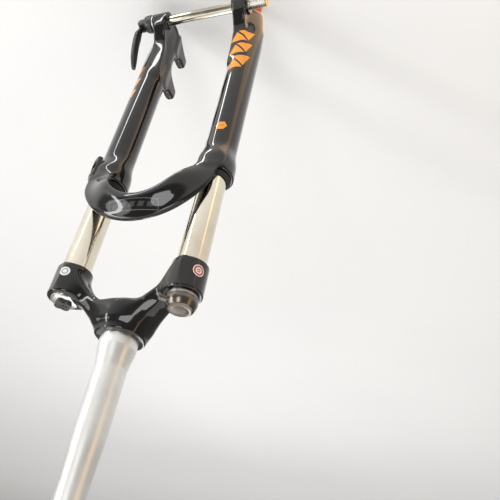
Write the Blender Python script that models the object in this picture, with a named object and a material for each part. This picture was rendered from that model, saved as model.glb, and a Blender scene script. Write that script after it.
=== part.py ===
"""Coil-sprung suspension fork for a mountain bike, as separate sub-parts at real size.

+Z runs up the steerer, +X is the rider's left (the disc-brake side), and the arch faces -Y.
The origin is on the steerer's axis at the crown race. Units are metres.
"""

import math

import bmesh
import bpy
from mathutils import Matrix, Vector

MM = 0.001
GAP = 0.3 * MM  # clearance between two pieces that touch

# Layout
LEG_SPACING = 140.8 * MM  # between the two stanchion axes
CROWN_OFFSET = 19.2 * MM  # stanchion axes in front of the steerer axis
AXLE_OFFSET = 52.3 * MM  # wheel axle in front of the steerer axis
AXLE_TO_CROWN = 507.5 * MM
TRAVEL = 100.0 * MM
HUB_WIDTH = 100.8 * MM  # between the inner faces of the dropouts

# Steerer
STEERER_LENGTH = 255.0 * MM  # above the crown race
STEERER_TOP_RADIUS = 14.3 * MM
STEERER_NECK_RADIUS = 16.6 * MM
STEERER_BASE_RADIUS = 19.9 * MM
STEERER_WALL = 2.3 * MM
RACE_SEAT_HEIGHT = 12.0 * MM

# Crown
CROWN_HUB_RADIUS = STEERER_BASE_RADIUS + 5.9 * MM
CROWN_HUB_HEIGHT = 31.0 * MM
CROWN_WALL = 5.0 * MM
CLAMP_WALL = 3.8 * MM
CLAMP_TOP = -38.0 * MM
CLAMP_BOTTOM = -74.0 * MM

# Stanchions
STANCHION_RADIUS = 16.0 * MM
STANCHION_WALL = 1.8 * MM
STANCHION_OVERLAP = 151.5 * MM  # how far it reaches into the lower leg at full length

# Lower legs
LEG_RADIUS = STANCHION_RADIUS + 3.6 * MM
BUSH_WALL = 0.7 * MM
BUSH_LENGTH = 24.0 * MM
BUSH_SPREAD = 96.0 * MM  # from the top of the upper bush to the top of the lower one
LEG_TOP = 308.5 * MM - AXLE_TO_CROWN
LEG_COLLAR_RADIUS = STANCHION_RADIUS + 7.4 * MM
LEG_COLLAR_LENGTH = 28.0 * MM
LEG_FOOT = -22.5 * MM - AXLE_TO_CROWN
LEG_FLOOR = LEG_FOOT + 52.0 * MM  # bottom of the bore that the stanchion slides in
FOOT_RADIUS = 10.5 * MM
SEAL_WALL = 3.0 * MM
SEAL_DEPTH = 8.0 * MM
SEAL_LIP = 6.0 * MM
SEAL_FLANGE = 1.2 * MM  # how far the seal's rim stands out over the leg's top

# Arch
ARCH_RADIUS = LEG_SPACING / 2 + 20.6 * MM
ARCH_INNER_HALF_WIDTH = LEG_SPACING / 2 - 14.4 * MM
ARCH_INNER_RISE = 72.0 * MM
ARCH_TOP = LEG_TOP + 77.0 * MM
ARCH_BACK = -41.8 * MM
ARCH_FRONT_TOP = -48.5 * MM
ARCH_FRONT_BOTTOM = -61.0 * MM

# Dropouts, axle and brake posts
AXLE_RADIUS = 7.5 * MM
AXLE_BORE_RADIUS = 4.5 * MM
DROPOUT_RADIUS = AXLE_RADIUS + 5.5 * MM
DROPOUT_WIDTH = 24.0 * MM
AXLE_STICK_OUT = 26.0 * MM  # past the drive-side dropout
POST_SPACING = 74.0 * MM
POST_FACE = 17.0 * MM  # how far the post faces stand behind the steerer axis
POST_THICKNESS = 12.0 * MM
POST_HEIGHT = 19.0 * MM
POST_PLANE = LEG_SPACING / 2 - 13.4 * MM  # middle of the posts, sideways from the steerer axis
POST_UPPER = 86.0 * MM - AXLE_TO_CROWN
POST_HOLE_RADIUS = 2.6 * MM

# Spring side
CAP_FLANGE_RADIUS = STANCHION_RADIUS
CAP_FLANGE_HEIGHT = 3.8 * MM
CAP_BODY_LENGTH = 18.0 * MM
KNOB_HEIGHT = 4.4 * MM
KNOB_RADIUS = 10.3 * MM
KNOB_STEM_RADIUS = 4.0 * MM
PLUNGER_THICKNESS = 6.0 * MM
PRELOAD_TRAVEL = 8.0 * MM
SPRING_TURNS = 12
SPRING_WIRE_RADIUS = 2.2 * MM
SPRING_RADIUS = STANCHION_RADIUS - 5.0 * MM
SEAT_THICKNESS = 6.0 * MM
TOP_OUT_LENGTH = 22.0 * MM
END_PLUG_LENGTH = 20.0 * MM
ROD_RADIUS = 6.0 * MM
FOOT_SHANK_RADIUS = 4.0 * MM
FOOT_HEAD_RADIUS = 7.0 * MM
FOOT_HEAD_HEIGHT = 5.0 * MM
FOOT_SHANK_REACH = 18.0 * MM  # above the leg's floor, inside the rod

# Damper side
CARTRIDGE_WALL = 1.5 * MM
NEEDLE_RADIUS = 2.0 * MM
SPOOL_RADIUS = 3.0 * MM
PISTON_LENGTH = 10.0 * MM
LEVER_CAP_RADIUS = STANCHION_RADIUS + 0.8 * MM
LEVER_CAP_HEIGHT = 13.5 * MM
LEVER_REACH = 24.0 * MM
LEVER_ANGLE = math.radians(-44.0)
REBOUND_KNOB_RADIUS = 6.2 * MM
REBOUND_KNOB_HEIGHT = 19.0 * MM

# Quick-release lever
LEVER_LENGTH = 80.0 * MM
LEVER_WIDTH = 15.0 * MM
LEVER_THICKNESS = 5.0 * MM
PIN_RADIUS = 3.0 * MM
CAM_RADIUS = 6.0 * MM
CHEEK_THICKNESS = 3.4 * MM
LEG_CLEARANCE = 2.0 * MM  # between the lever and the outside of the leg

# Hose guide
GUIDE_ANGLE = math.radians(-56.0)
GUIDE_TOP = LEG_TOP - 2.0 * MM
GUIDE_HEIGHT = 33.0 * MM
GUIDE_WIDTH = 15.0 * MM
GUIDE_STAND_OUT = 5.0 * MM

HALF = LEG_SPACING / 2
LEG_Y = -CROWN_OFFSET
AXLE_Y = -AXLE_OFFSET
AXLE_Z = -AXLE_TO_CROWN
SPRING_SIDE = (HALF, LEG_Y, 0.0)
DAMPER_SIDE = (-HALF, LEG_Y, 0.0)
STANCHION_BORE = STANCHION_RADIUS - STANCHION_WALL
STANCHION_TOP = CLAMP_TOP - 0.5 * MM
STANCHION_BOTTOM = LEG_TOP - STANCHION_OVERLAP
CLAMP_RADIUS = STANCHION_RADIUS + GAP + CLAMP_WALL
LEG_BORE = STANCHION_RADIUS + GAP + BUSH_WALL + GAP
PLUG_RADIUS = STANCHION_BORE - GAP
HUB_HALF = HUB_WIDTH / 2
DROPOUT_OUTER = HUB_HALF + DROPOUT_WIDTH

SEGMENTS = 28
SMALL_SEGMENTS = 16


# ---------------------------------------------------------------- materials

def material(name, colour, roughness, metallic=0.0):
    made = bpy.data.materials.new(name)
    made.use_nodes = True
    shader = made.node_tree.nodes["Principled BSDF"]
    shader.inputs["Base Color"].default_value = (*colour, 1.0)
    shader.inputs["Roughness"].default_value = roughness
    shader.inputs["Metallic"].default_value = metallic
    return made


def make_materials():
    return {
        "paint": material("gloss_black_paint", (0.012, 0.012, 0.014), 0.12),
        "polished": material("polished_tube", (0.80, 0.78, 0.72), 0.14, 1.0),
        "silver": material("brushed_silver", (0.66, 0.65, 0.62), 0.32, 1.0),
        "steel": material("plain_steel", (0.45, 0.45, 0.44), 0.38, 1.0),
        "bronze": material("anodised_bronze", (0.17, 0.14, 0.11), 0.34, 0.9),
        "black": material("black_plastic", (0.02, 0.02, 0.02), 0.45),
        "rubber": material("seal_rubber", (0.015, 0.015, 0.015), 0.75),
        "red": material("red_anodised", (0.45, 0.02, 0.02), 0.28, 0.8),
        "bush": material("bush_lining", (0.30, 0.24, 0.16), 0.55, 0.4),
    }


# ---------------------------------------------------------------- mesh tools

def turned_mesh(profile, segments=SEGMENTS):
    """A (radius, height) outline carried round Z. One that starts and ends on the axis gets flat caps."""
    mesh = bmesh.new()
    solid = profile[0][0] == 0
    angles = [2 * math.pi * (step + 0.5) / segments for step in range(segments)]
    rings = [
        [mesh.verts.new((radius * math.cos(a), radius * math.sin(a), height)) for a in angles]
        for radius, height in (profile[1:-1] if solid else profile)
    ]
    followers = rings[1:] if solid else rings[1:] + rings[:1]
    for ring, following in zip(rings, followers):
        for step in range(segments):
            nxt = (step + 1) % segments
            mesh.faces.new((ring[step], ring[nxt], following[nxt], following[step]))
    if solid:
        mesh.faces.new(rings[0])
        mesh.faces.new(rings[-1])
    bmesh.ops.recalc_face_normals(mesh, faces=mesh.faces)
    return mesh


def lofted_mesh(sections):
    """Rings of the same number of points joined in order, with flat caps."""
    mesh = bmesh.new()
    rings = [[mesh.verts.new(point) for point in ring] for ring in sections]
    count = len(rings[0])
    for ring, following in zip(rings, rings[1:]):
        for step in range(count):
            nxt = (step + 1) % count
            mesh.faces.new((ring[step], ring[nxt], following[nxt], following[step]))
    mesh.faces.new(list(reversed(rings[0])))
    mesh.faces.new(rings[-1])
    bmesh.ops.recalc_face_normals(mesh, faces=mesh.faces)
    return mesh


def prism_mesh(outline, low, high):
    """A flat (x, y) outline extruded along Z from low to high."""
    return lofted_mesh([[(x, y, height) for x, y in outline] for height in (low, high)])


def bar_profile(radius, bottom, top, chamfer=0.0):
    """A solid round bar, from its lower end to its upper one."""
    edge = radius - chamfer
    if chamfer:
        lower = [(0, bottom), (edge, bottom), (radius, bottom + chamfer)]
        return lower + [(radius, top - chamfer), (edge, top), (0, top)]
    return [(0, bottom), (radius, bottom), (radius, top), (0, top)]


def tube_profile(inner, outer, bottom, top):
    return [(inner, bottom), (outer, bottom), (outer, top), (inner, top)]


def smoothstep(value):
    value = min(max(value, 0.0), 1.0)
    return value * value * (3 - 2 * value)


def blend_points(points, at):
    """Height at a place along a list of (place, height) points, joined by smooth steps."""
    for (start, low), (end, high) in zip(points, points[1:]):
        if at <= end:
            return low + (high - low) * smoothstep((at - start) / (end - start))
    return points[-1][1]


ALONG_X = Matrix.Rotation(math.pi / 2, 4, "Y")  # turns a part made along Z so that it lies along +X
ALONG_Y = Matrix.Rotation(-math.pi / 2, 4, "X")


class Maker:
    """Puts meshes into the scene, each under the empty of the body that it moves with."""

    def __init__(self, materials):
        self.materials = materials
        self.bodies = {}

    def body(self, name, origin, parent=None):
        empty = bpy.data.objects.new(f"{name}_axis", None)
        bpy.context.scene.collection.objects.link(empty)
        above = self.bodies[parent][1] if parent else Vector()
        if parent:
            empty.parent = self.bodies[parent][0]
        empty.location = Vector(origin) - above
        self.bodies[name] = (empty, Vector(origin))

    def add(self, name, mesh, finish, body="upper", at=(0, 0, 0), turn=None):
        """Adds a node: at and turn place the mesh, and the object's origin goes to its body's axis."""
        empty, origin = self.bodies[body]
        data = bpy.data.meshes.new(name)
        place = Matrix.Translation(Vector(at) - origin) @ (turn or Matrix.Identity(4))
        bmesh.ops.transform(mesh, matrix=place, verts=mesh.verts)
        mesh.to_mesh(data)
        mesh.free()
        data.shade_smooth()
        data.set_sharp_from_angle(angle=math.radians(35))
        data.materials.append(self.materials[finish])
        made = bpy.data.objects.new(name, data)
        made.parent = empty
        bpy.context.scene.collection.objects.link(made)
        return made

    def helper(self, target, mesh, operation, at=(0, 0, 0), turn=None, body="upper", solver="EXACT"):
        """A hidden shape that is joined to, or cut from, the target with a Boolean."""
        name = f"{target.name}_{operation.lower()}_{len(target.modifiers)}"
        tool = self.add(name, mesh, "steel", body, at, turn)
        tool.hide_render = True
        tool.display_type = "WIRE"
        modifier = target.modifiers.new(name, "BOOLEAN")
        modifier.operation = operation
        modifier.solver = solver
        modifier.object = tool


# ---------------------------------------------------------------- steerer and crown

def steerer_outline():
    """(height, outer radius) down the tapered steerer, from its top to its lower end."""
    return [
        (STEERER_LENGTH, STEERER_TOP_RADIUS),
        (145 * MM, STEERER_TOP_RADIUS),
        (95 * MM, STEERER_NECK_RADIUS - 0.2 * MM),
        (34 * MM, STEERER_NECK_RADIUS),
        (RACE_SEAT_HEIGHT, STEERER_BASE_RADIUS),
        (-CROWN_HUB_HEIGHT, STEERER_BASE_RADIUS),
    ]


def make_steerer(maker):
    outside = [(radius, height) for height, radius in steerer_outline()]
    inside = [(radius - STEERER_WALL, height) for radius, height in reversed(outside)]
    inside[0] = (STEERER_BASE_RADIUS - STEERER_WALL - 0.6 * MM, -CROWN_HUB_HEIGHT)
    maker.add("steerer_tube", turned_mesh(outside + inside), "silver")


def crown_section(along, shrink=0.0):
    """One ring of the wishbone, at a share of the way from the hub (0) to a clamp (1 or -1)."""
    share = abs(along)
    end_top, end_bottom = CLAMP_TOP - 2 * MM, CLAMP_BOTTOM + 4 * MM
    hub_bottom = -CROWN_HUB_HEIGHT + 1.5 * MM
    top = blend_points([(0, -1.5 * MM), (0.34, -4 * MM), (0.74, -33 * MM), (1, end_top)], share)
    bottom = blend_points([(0, hub_bottom), (0.3, -32.5 * MM), (0.75, -58 * MM), (1, end_bottom)], share)
    hub_half = CROWN_HUB_RADIUS - 1.8 * MM
    half_width = blend_points([(0, hub_half), (0.5, 18.5 * MM), (1, CLAMP_RADIUS - 2.5 * MM)], share)
    middle = Vector((HALF * along, LEG_Y * share**1.5 - 1.0 * MM, 0.0))
    half_width -= shrink
    top -= shrink
    ridge, flank = 0.35 * half_width, 5.5 * MM  # the rear shoulder stands higher than the front one
    ring = [
        (-half_width, bottom + 3 * MM),
        (-half_width + 3 * MM, bottom),
        (half_width - 3 * MM, bottom),
        (half_width, bottom + 3 * MM),
        (half_width, top - 0.6 * flank),
        (half_width - 5 * MM, top + 1 * MM),
        (-ridge, top),
        (-half_width, top - 1.6 * flank),
    ]
    return [(middle.x, middle.y + across, height) for across, height in ring]


def hollow_section(along):
    """The crown's underside pocket: the same ring, a wall thinner, run out below the crown."""
    ring = crown_section(along, CROWN_WALL)
    drops = [10 * MM] * 4 + [1.5 * MM] * 4  # the lower four corners, then the upper four
    return [(x, y, height - drop) for (x, y, height), drop in zip(ring, drops)]


def make_crown(maker):
    reach_in = 0.93  # the arms end inside the clamps
    stations = [reach_in * step / 12 for step in range(-12, 13)]
    crown = maker.add("crown", lofted_mesh([crown_section(at) for at in stations]), "paint")
    hub_profile = [
        (0, -CROWN_HUB_HEIGHT),
        (CROWN_HUB_RADIUS - 1 * MM, -CROWN_HUB_HEIGHT),
        (CROWN_HUB_RADIUS + 1.4 * MM, -CROWN_HUB_HEIGHT + 3 * MM),
        (CROWN_HUB_RADIUS + 1.4 * MM, -14 * MM),
        (CROWN_HUB_RADIUS, -6 * MM),
        (CROWN_HUB_RADIUS, -0.8 * MM),
        (CROWN_HUB_RADIUS - 0.8 * MM, 0),
        (0, 0),
    ]
    maker.helper(crown, turned_mesh(hub_profile), "UNION")
    for side in (1, -1):
        clamp = bar_profile(CLAMP_RADIUS, CLAMP_BOTTOM, CLAMP_TOP, 1.5 * MM)
        maker.helper(crown, turned_mesh(clamp), "UNION", (side * HALF, LEG_Y, 0))
    for side in (1, -1):
        shares = [side * (0.40 + 0.30 * step / 3) for step in range(4)]
        maker.helper(crown, lofted_mesh([hollow_section(at) for at in shares]), "DIFFERENCE")
    reach = 20 * MM
    steerer_hole = bar_profile(STEERER_BASE_RADIUS + GAP, -CROWN_HUB_HEIGHT - reach, reach)
    # The exact solver leaves open edges where these bores meet the wishbone's facets.
    maker.helper(crown, turned_mesh(steerer_hole), "DIFFERENCE", solver="MANIFOLD")
    cap_room = LEVER_CAP_RADIUS + 1.2 * MM
    for side in (1, -1):
        clamp_hole = [
            (0, CLAMP_BOTTOM - reach),
            (STANCHION_RADIUS + GAP, CLAMP_BOTTOM - reach),
            (STANCHION_RADIUS + GAP, CLAMP_TOP),
            (cap_room, CLAMP_TOP),
            (cap_room, CLAMP_TOP + reach),
            (0, CLAMP_TOP + reach),
        ]
        place = (side * HALF, LEG_Y, 0)
        maker.helper(crown, turned_mesh(clamp_hole), "DIFFERENCE", place, solver="MANIFOLD")


def make_stanchions(maker):
    profile = tube_profile(STANCHION_BORE, STANCHION_RADIUS, STANCHION_BOTTOM, STANCHION_TOP)
    for name, place in (("left", SPRING_SIDE), ("right", DAMPER_SIDE)):
        maker.add(f"stanchion_{name}", turned_mesh(profile), "polished", at=place)


# ---------------------------------------------------------------- lower casting

def arch_section(angle):
    """One ring of the arch: angle 0 is the left root, 180 degrees the right one, 90 the middle."""
    rise, across = math.sin(angle), math.cos(angle)
    side = 1 if across > 0 else -1
    up = max(rise, 0.0)
    centre = ARCH_TOP - ARCH_RADIUS
    inner_centre = ARCH_TOP - 28 * MM - ARCH_INNER_RISE
    if rise > 0:
        outer = Vector((ARCH_RADIUS * across, centre + ARCH_RADIUS * rise))
        inner = Vector((ARCH_INNER_HALF_WIDTH * across, inner_centre + ARCH_INNER_RISE * rise))
    else:
        outer = Vector((side * (ARCH_RADIUS + 14 * MM * rise), centre + ARCH_RADIUS * rise))
        inner_reach = ARCH_INNER_HALF_WIDTH - 8 * MM * rise
        inner = Vector((side * inner_reach, inner_centre + ARCH_INNER_RISE * rise))
    root_front = LEG_Y - LEG_RADIUS - (3.4 * MM if rise > 0 else 3.4 * MM + 12 * MM * rise)
    back = LEG_Y - 4 * MM + (ARCH_BACK - LEG_Y + 4 * MM) * smoothstep((rise + 0.1) / 0.38)
    front_top = root_front + (ARCH_FRONT_TOP - root_front) * smoothstep(up * 1.2)
    front_bottom = root_front + (ARCH_FRONT_BOTTOM - root_front) * smoothstep(up * 1.2)
    edge = 3 * MM
    out = (outer - inner).normalized() * edge
    ring = [
        (inner + out, back),
        (inner, back - edge * 0.7),
        (inner, front_bottom + edge),
        (inner + out, front_bottom),
        (outer - out, front_top),
        (outer, front_top + edge * 0.7),
        (outer, back - edge * 0.4),
        (outer - out, back),
    ]
    return [(flat.x, depth, flat.y) for flat, depth in ring]


def leg_profile():
    """(radius, height) outline of one lower leg, before its bore is cut."""
    collar_low = LEG_TOP - LEG_COLLAR_LENGTH
    return [
        (0, LEG_FOOT),
        (FOOT_RADIUS, LEG_FOOT),
        (FOOT_RADIUS + 2.4 * MM, LEG_FOOT + 5 * MM),
        (FOOT_RADIUS + 5.4 * MM, LEG_FOOT + 24 * MM),
        (LEG_RADIUS - 1.2 * MM, LEG_FOOT + 46 * MM),
        (LEG_RADIUS, LEG_FOOT + 78 * MM),
        (LEG_RADIUS, collar_low - 14 * MM),
        (LEG_RADIUS + 0.9 * MM, collar_low - 6 * MM),
        (LEG_COLLAR_RADIUS - 0.8 * MM, collar_low + 4 * MM),
        (LEG_COLLAR_RADIUS, collar_low + 9 * MM),
        (LEG_COLLAR_RADIUS, LEG_TOP - 1.5 * MM),
        (LEG_COLLAR_RADIUS - 1.5 * MM, LEG_TOP),
        (0, LEG_TOP),
    ]


def leg_bore_profile():
    """The space inside a leg: the foot bolt's hole, the sliding bore and the seal's pocket above it."""
    seal_radius = STANCHION_RADIUS + GAP + SEAL_WALL + GAP
    lip_radius = seal_radius + SEAL_FLANGE
    reach = 20 * MM
    return [
        (0, LEG_FOOT - reach),
        (FOOT_SHANK_RADIUS + GAP, LEG_FOOT - reach),
        (FOOT_SHANK_RADIUS + GAP, LEG_FLOOR),
        (LEG_BORE, LEG_FLOOR),
        (LEG_BORE, LEG_TOP - SEAL_DEPTH),
        (seal_radius, LEG_TOP - SEAL_DEPTH),
        (seal_radius, LEG_TOP + 0.4 * MM),
        (lip_radius, LEG_TOP + 0.4 * MM),
        (lip_radius, LEG_TOP + reach),
        (0, LEG_TOP + reach),
    ]


def dropout_outline():
    """(y, z) outline of the web between the leg's foot and the axle boss."""
    low = AXLE_Z - 0.75 * DROPOUT_RADIUS
    front = AXLE_Y - 0.62 * DROPOUT_RADIUS
    leg_front = LEG_Y - 0.8 * LEG_RADIUS
    return [
        (AXLE_Y, low),
        (LEG_Y - 4 * MM, LEG_FOOT + 7 * MM),
        (LEG_Y + 4 * MM, LEG_FOOT + 30 * MM),
        (LEG_Y - 2 * MM, AXLE_Z + 92 * MM),
        (leg_front, AXLE_Z + 88 * MM),
        (leg_front - 4.5 * MM, AXLE_Z + 60 * MM),
        (leg_front - 9 * MM, AXLE_Z + 36 * MM),
        (front, AXLE_Z + 0.78 * DROPOUT_RADIUS),
    ]


def post_outline(middle):
    """(y, z) outline of one brake post whose face is centred at this height."""
    root = LEG_Y
    low, high = middle - POST_HEIGHT / 2, middle + POST_HEIGHT / 2
    return [
        (root, low - 22 * MM),
        (LEG_Y + 14 * MM, low - 12 * MM),
        (POST_FACE - 3 * MM, low),
        (POST_FACE, low + 2 * MM),
        (POST_FACE, high - 2 * MM),
        (POST_FACE - 3 * MM, high),
        (LEG_Y + 17 * MM, high + 2 * MM),
        (root, high + 5 * MM),
    ]


def sideways_prism(outline, low, high):
    """A (y, z) outline extruded along X."""
    return lofted_mesh([[(x, y, z) for y, z in outline] for x in (low, high)])


def make_lower_casting(maker):
    casting = maker.add("lower_casting", turned_mesh(leg_profile()), "paint", "lowers", SPRING_SIDE)
    maker.helper(casting, turned_mesh(leg_profile()), "UNION", DAMPER_SIDE, body="lowers")
    low, high, steps = math.radians(-22), math.radians(202), 28
    angles = [low + (high - low) * step / steps for step in range(steps + 1)]
    maker.helper(casting, lofted_mesh([arch_section(a) for a in angles]), "UNION", body="lowers")
    for side in (1, -1):
        inner, outer = sorted((side * (HUB_HALF + 3 * MM), side * (DROPOUT_OUTER - 3 * MM)))
        maker.helper(casting, sideways_prism(dropout_outline(), inner, outer), "UNION", body="lowers")
        boss = bar_profile(DROPOUT_RADIUS, *sorted((side * HUB_HALF, side * DROPOUT_OUTER)), 0.8 * MM)
        maker.helper(casting, turned_mesh(boss), "UNION", (0, AXLE_Y, AXLE_Z), ALONG_X, "lowers")
    for middle in (POST_UPPER, POST_UPPER - POST_SPACING):
        near, far = POST_PLANE - POST_THICKNESS / 2, POST_PLANE + POST_THICKNESS / 2
        maker.helper(casting, sideways_prism(post_outline(middle), near, far), "UNION", body="lowers")
    cut_casting(maker, casting)


GUIDE_TURN = Matrix.Rotation(GUIDE_ANGLE, 4, "Z")
GUIDE_INNER = LEG_COLLAR_RADIUS + GAP
GUIDE_OUTER = GUIDE_INNER + GUIDE_STAND_OUT


def guide_rings(grow=0.0):
    """Four rings of the clip, along Z, with +X pointing away from the leg; grow makes the room for it."""
    bottom, top = GUIDE_TOP - GUIDE_HEIGHT - grow, GUIDE_TOP + grow
    half = GUIDE_WIDTH / 2 + grow
    inner, outer = GUIDE_INNER - 4 * grow, GUIDE_OUTER + 20 * grow
    rings = []
    for reach, inset, height in (
        (outer - 3 * MM, 1.5 * MM, bottom),
        (outer, 0, bottom + 4 * MM),
        (outer, 0, top - 5 * MM),
        (outer - 3 * MM, 2.5 * MM, top),
    ):
        side = half - inset
        rings.append([
            (inner, -side, height),
            (reach, -side + 1 * MM * (grow == 0), height),
            (reach, side - 1 * MM * (grow == 0), height),
            (inner, side, height),
        ])
    return rings


def cut_casting(maker, casting):
    """Cuts the leg bores, the holes of the axle and the brake posts, and the hose guide's seat."""
    for place in (SPRING_SIDE, DAMPER_SIDE):
        maker.helper(casting, turned_mesh(leg_bore_profile()), "DIFFERENCE", place, body="lowers")
    reach = DROPOUT_OUTER + 5 * MM
    axle_hole = bar_profile(AXLE_RADIUS + GAP, -reach, reach)
    maker.helper(casting, turned_mesh(axle_hole), "DIFFERENCE", (0, AXLE_Y, AXLE_Z), ALONG_X, "lowers")
    for middle in (POST_UPPER, POST_UPPER - POST_SPACING):
        hole = bar_profile(POST_HOLE_RADIUS, POST_FACE - 14 * MM, POST_FACE + 5 * MM)
        place = (POST_PLANE, 0, middle)
        maker.helper(casting, turned_mesh(hole, 16), "DIFFERENCE", place, ALONG_Y, "lowers")
    seat = lofted_mesh(guide_rings(GAP))
    maker.helper(casting, seat, "DIFFERENCE", SPRING_SIDE, GUIDE_TURN, "lowers", solver="MANIFOLD")


def make_seals_and_bushes(maker):
    inner = STANCHION_RADIUS + GAP
    outer = inner + SEAL_WALL
    bottom, lip = LEG_TOP - SEAL_DEPTH + GAP, LEG_TOP + SEAL_LIP
    seal = [
        (inner, bottom),
        (outer, bottom),
        (outer, LEG_TOP + 0.8 * MM),
        (outer + SEAL_FLANGE, LEG_TOP + 0.8 * MM),
        (outer + SEAL_FLANGE, LEG_TOP + 2.6 * MM),
        (outer - 0.8 * MM, lip - 1.2 * MM),
        (inner + 0.9 * MM, lip),
        (inner, lip),
    ]
    bush_top = LEG_TOP - SEAL_DEPTH - 4 * MM
    for side, place in (("left", SPRING_SIDE), ("right", DAMPER_SIDE)):
        maker.add(f"wiper_seal_{side}", turned_mesh(seal), "rubber", "lowers", place)
        for level, top in (("upper", bush_top), ("lower", bush_top - BUSH_SPREAD)):
            bush = tube_profile(inner, inner + BUSH_WALL, top - BUSH_LENGTH, top)
            maker.add(f"slide_bush_{level}_{side}", turned_mesh(bush), "bush", "lowers", place)


# ---------------------------------------------------------------- spring side

def regular_outline(corners, radius):
    return [
        (radius * math.cos(2 * math.pi * k / corners), radius * math.sin(2 * math.pi * k / corners))
        for k in range(corners)
    ]


def lobed_outline(lobes, radius, depth, count):
    """A round outline whose radius dips by depth between the lobes."""
    points = []
    for step in range(count):
        angle = 2 * math.pi * step / count
        reach = radius - depth * (0.5 - 0.5 * math.cos(lobes * angle)) ** 1.5
        points.append((reach * math.cos(angle), reach * math.sin(angle)))
    return points


CAP_BOTTOM = CLAMP_TOP + GAP
CAP_TOP = CAP_BOTTOM + CAP_FLANGE_HEIGHT
CAP_BODY_BOTTOM = STANCHION_TOP - CAP_BODY_LENGTH
PLUNGER_TOP = CAP_BODY_BOTTOM - 2 * MM
PLUNGER_BOTTOM = PLUNGER_TOP - PLUNGER_THICKNESS
PLUG_TOP = STANCHION_BOTTOM + END_PLUG_LENGTH
SEAT_BOTTOM = PLUG_TOP + GAP + TOP_OUT_LENGTH + GAP
SEAT_TOP = SEAT_BOTTOM + SEAT_THICKNESS


def make_spring_cap(maker):
    flange = prism_mesh(regular_outline(6, CAP_FLANGE_RADIUS), CAP_BOTTOM, CAP_TOP)
    cap = maker.add("spring_top_cap", flange, "silver", at=SPRING_SIDE)
    thread = bar_profile(PLUG_RADIUS, CAP_BODY_BOTTOM, CAP_BOTTOM + 1 * MM)
    maker.helper(cap, turned_mesh(thread), "UNION", SPRING_SIDE)
    hole = bar_profile(KNOB_STEM_RADIUS + GAP, CAP_BODY_BOTTOM - 5 * MM, CAP_TOP + 5 * MM)
    maker.helper(cap, turned_mesh(hole, SMALL_SEGMENTS), "DIFFERENCE", SPRING_SIDE)


def make_preload(maker):
    base = CAP_TOP + GAP
    top = base + KNOB_HEIGHT
    lobed = prism_mesh(lobed_outline(4, KNOB_RADIUS, 3.2 * MM, 40), base, top)
    knob = maker.add("preload_knob", lobed, "black", "preload_knob", SPRING_SIDE)
    stem_bottom = PLUNGER_BOTTOM - PRELOAD_TRAVEL - 4 * MM
    stem = bar_profile(KNOB_STEM_RADIUS, stem_bottom, base + 2 * MM)
    maker.helper(knob, turned_mesh(stem, SMALL_SEGMENTS), "UNION", SPRING_SIDE, body="preload_knob")
    plunger = tube_profile(KNOB_STEM_RADIUS + GAP, PLUG_RADIUS, PLUNGER_BOTTOM, PLUNGER_TOP)
    plunger_mesh = turned_mesh(plunger, SMALL_SEGMENTS)
    maker.add("preload_plunger", plunger_mesh, "steel", "preload_plunger", SPRING_SIDE)


def spring_sections(top, bottom):
    """Rings of wire along a helix whose first and last turns lie nearly flat."""
    steps_per_turn, sides = 12, 6
    total = SPRING_TURNS * steps_per_turn
    flat = 2 * SPRING_WIRE_RADIUS + 0.35 * MM
    span = top - bottom - 2 * SPRING_WIRE_RADIUS
    middle_pitch = (span - 2 * flat) / (SPRING_TURNS - 2)
    rings = []
    for step in range(total + 1):
        turns = step / steps_per_turn
        fall = flat * min(turns, 1.0)
        fall += middle_pitch * min(max(turns - 1.0, 0.0), SPRING_TURNS - 2)
        fall += flat * max(turns - (SPRING_TURNS - 1), 0.0)
        angle = 2 * math.pi * turns
        height = top - SPRING_WIRE_RADIUS - fall
        ring = []
        for side in range(sides):
            around = 2 * math.pi * side / sides
            reach = SPRING_RADIUS + SPRING_WIRE_RADIUS * math.cos(around)
            rise = SPRING_WIRE_RADIUS * math.sin(around)
            ring.append((reach * math.cos(angle), reach * math.sin(angle), height + rise))
        rings.append(ring)
    return rings


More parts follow.
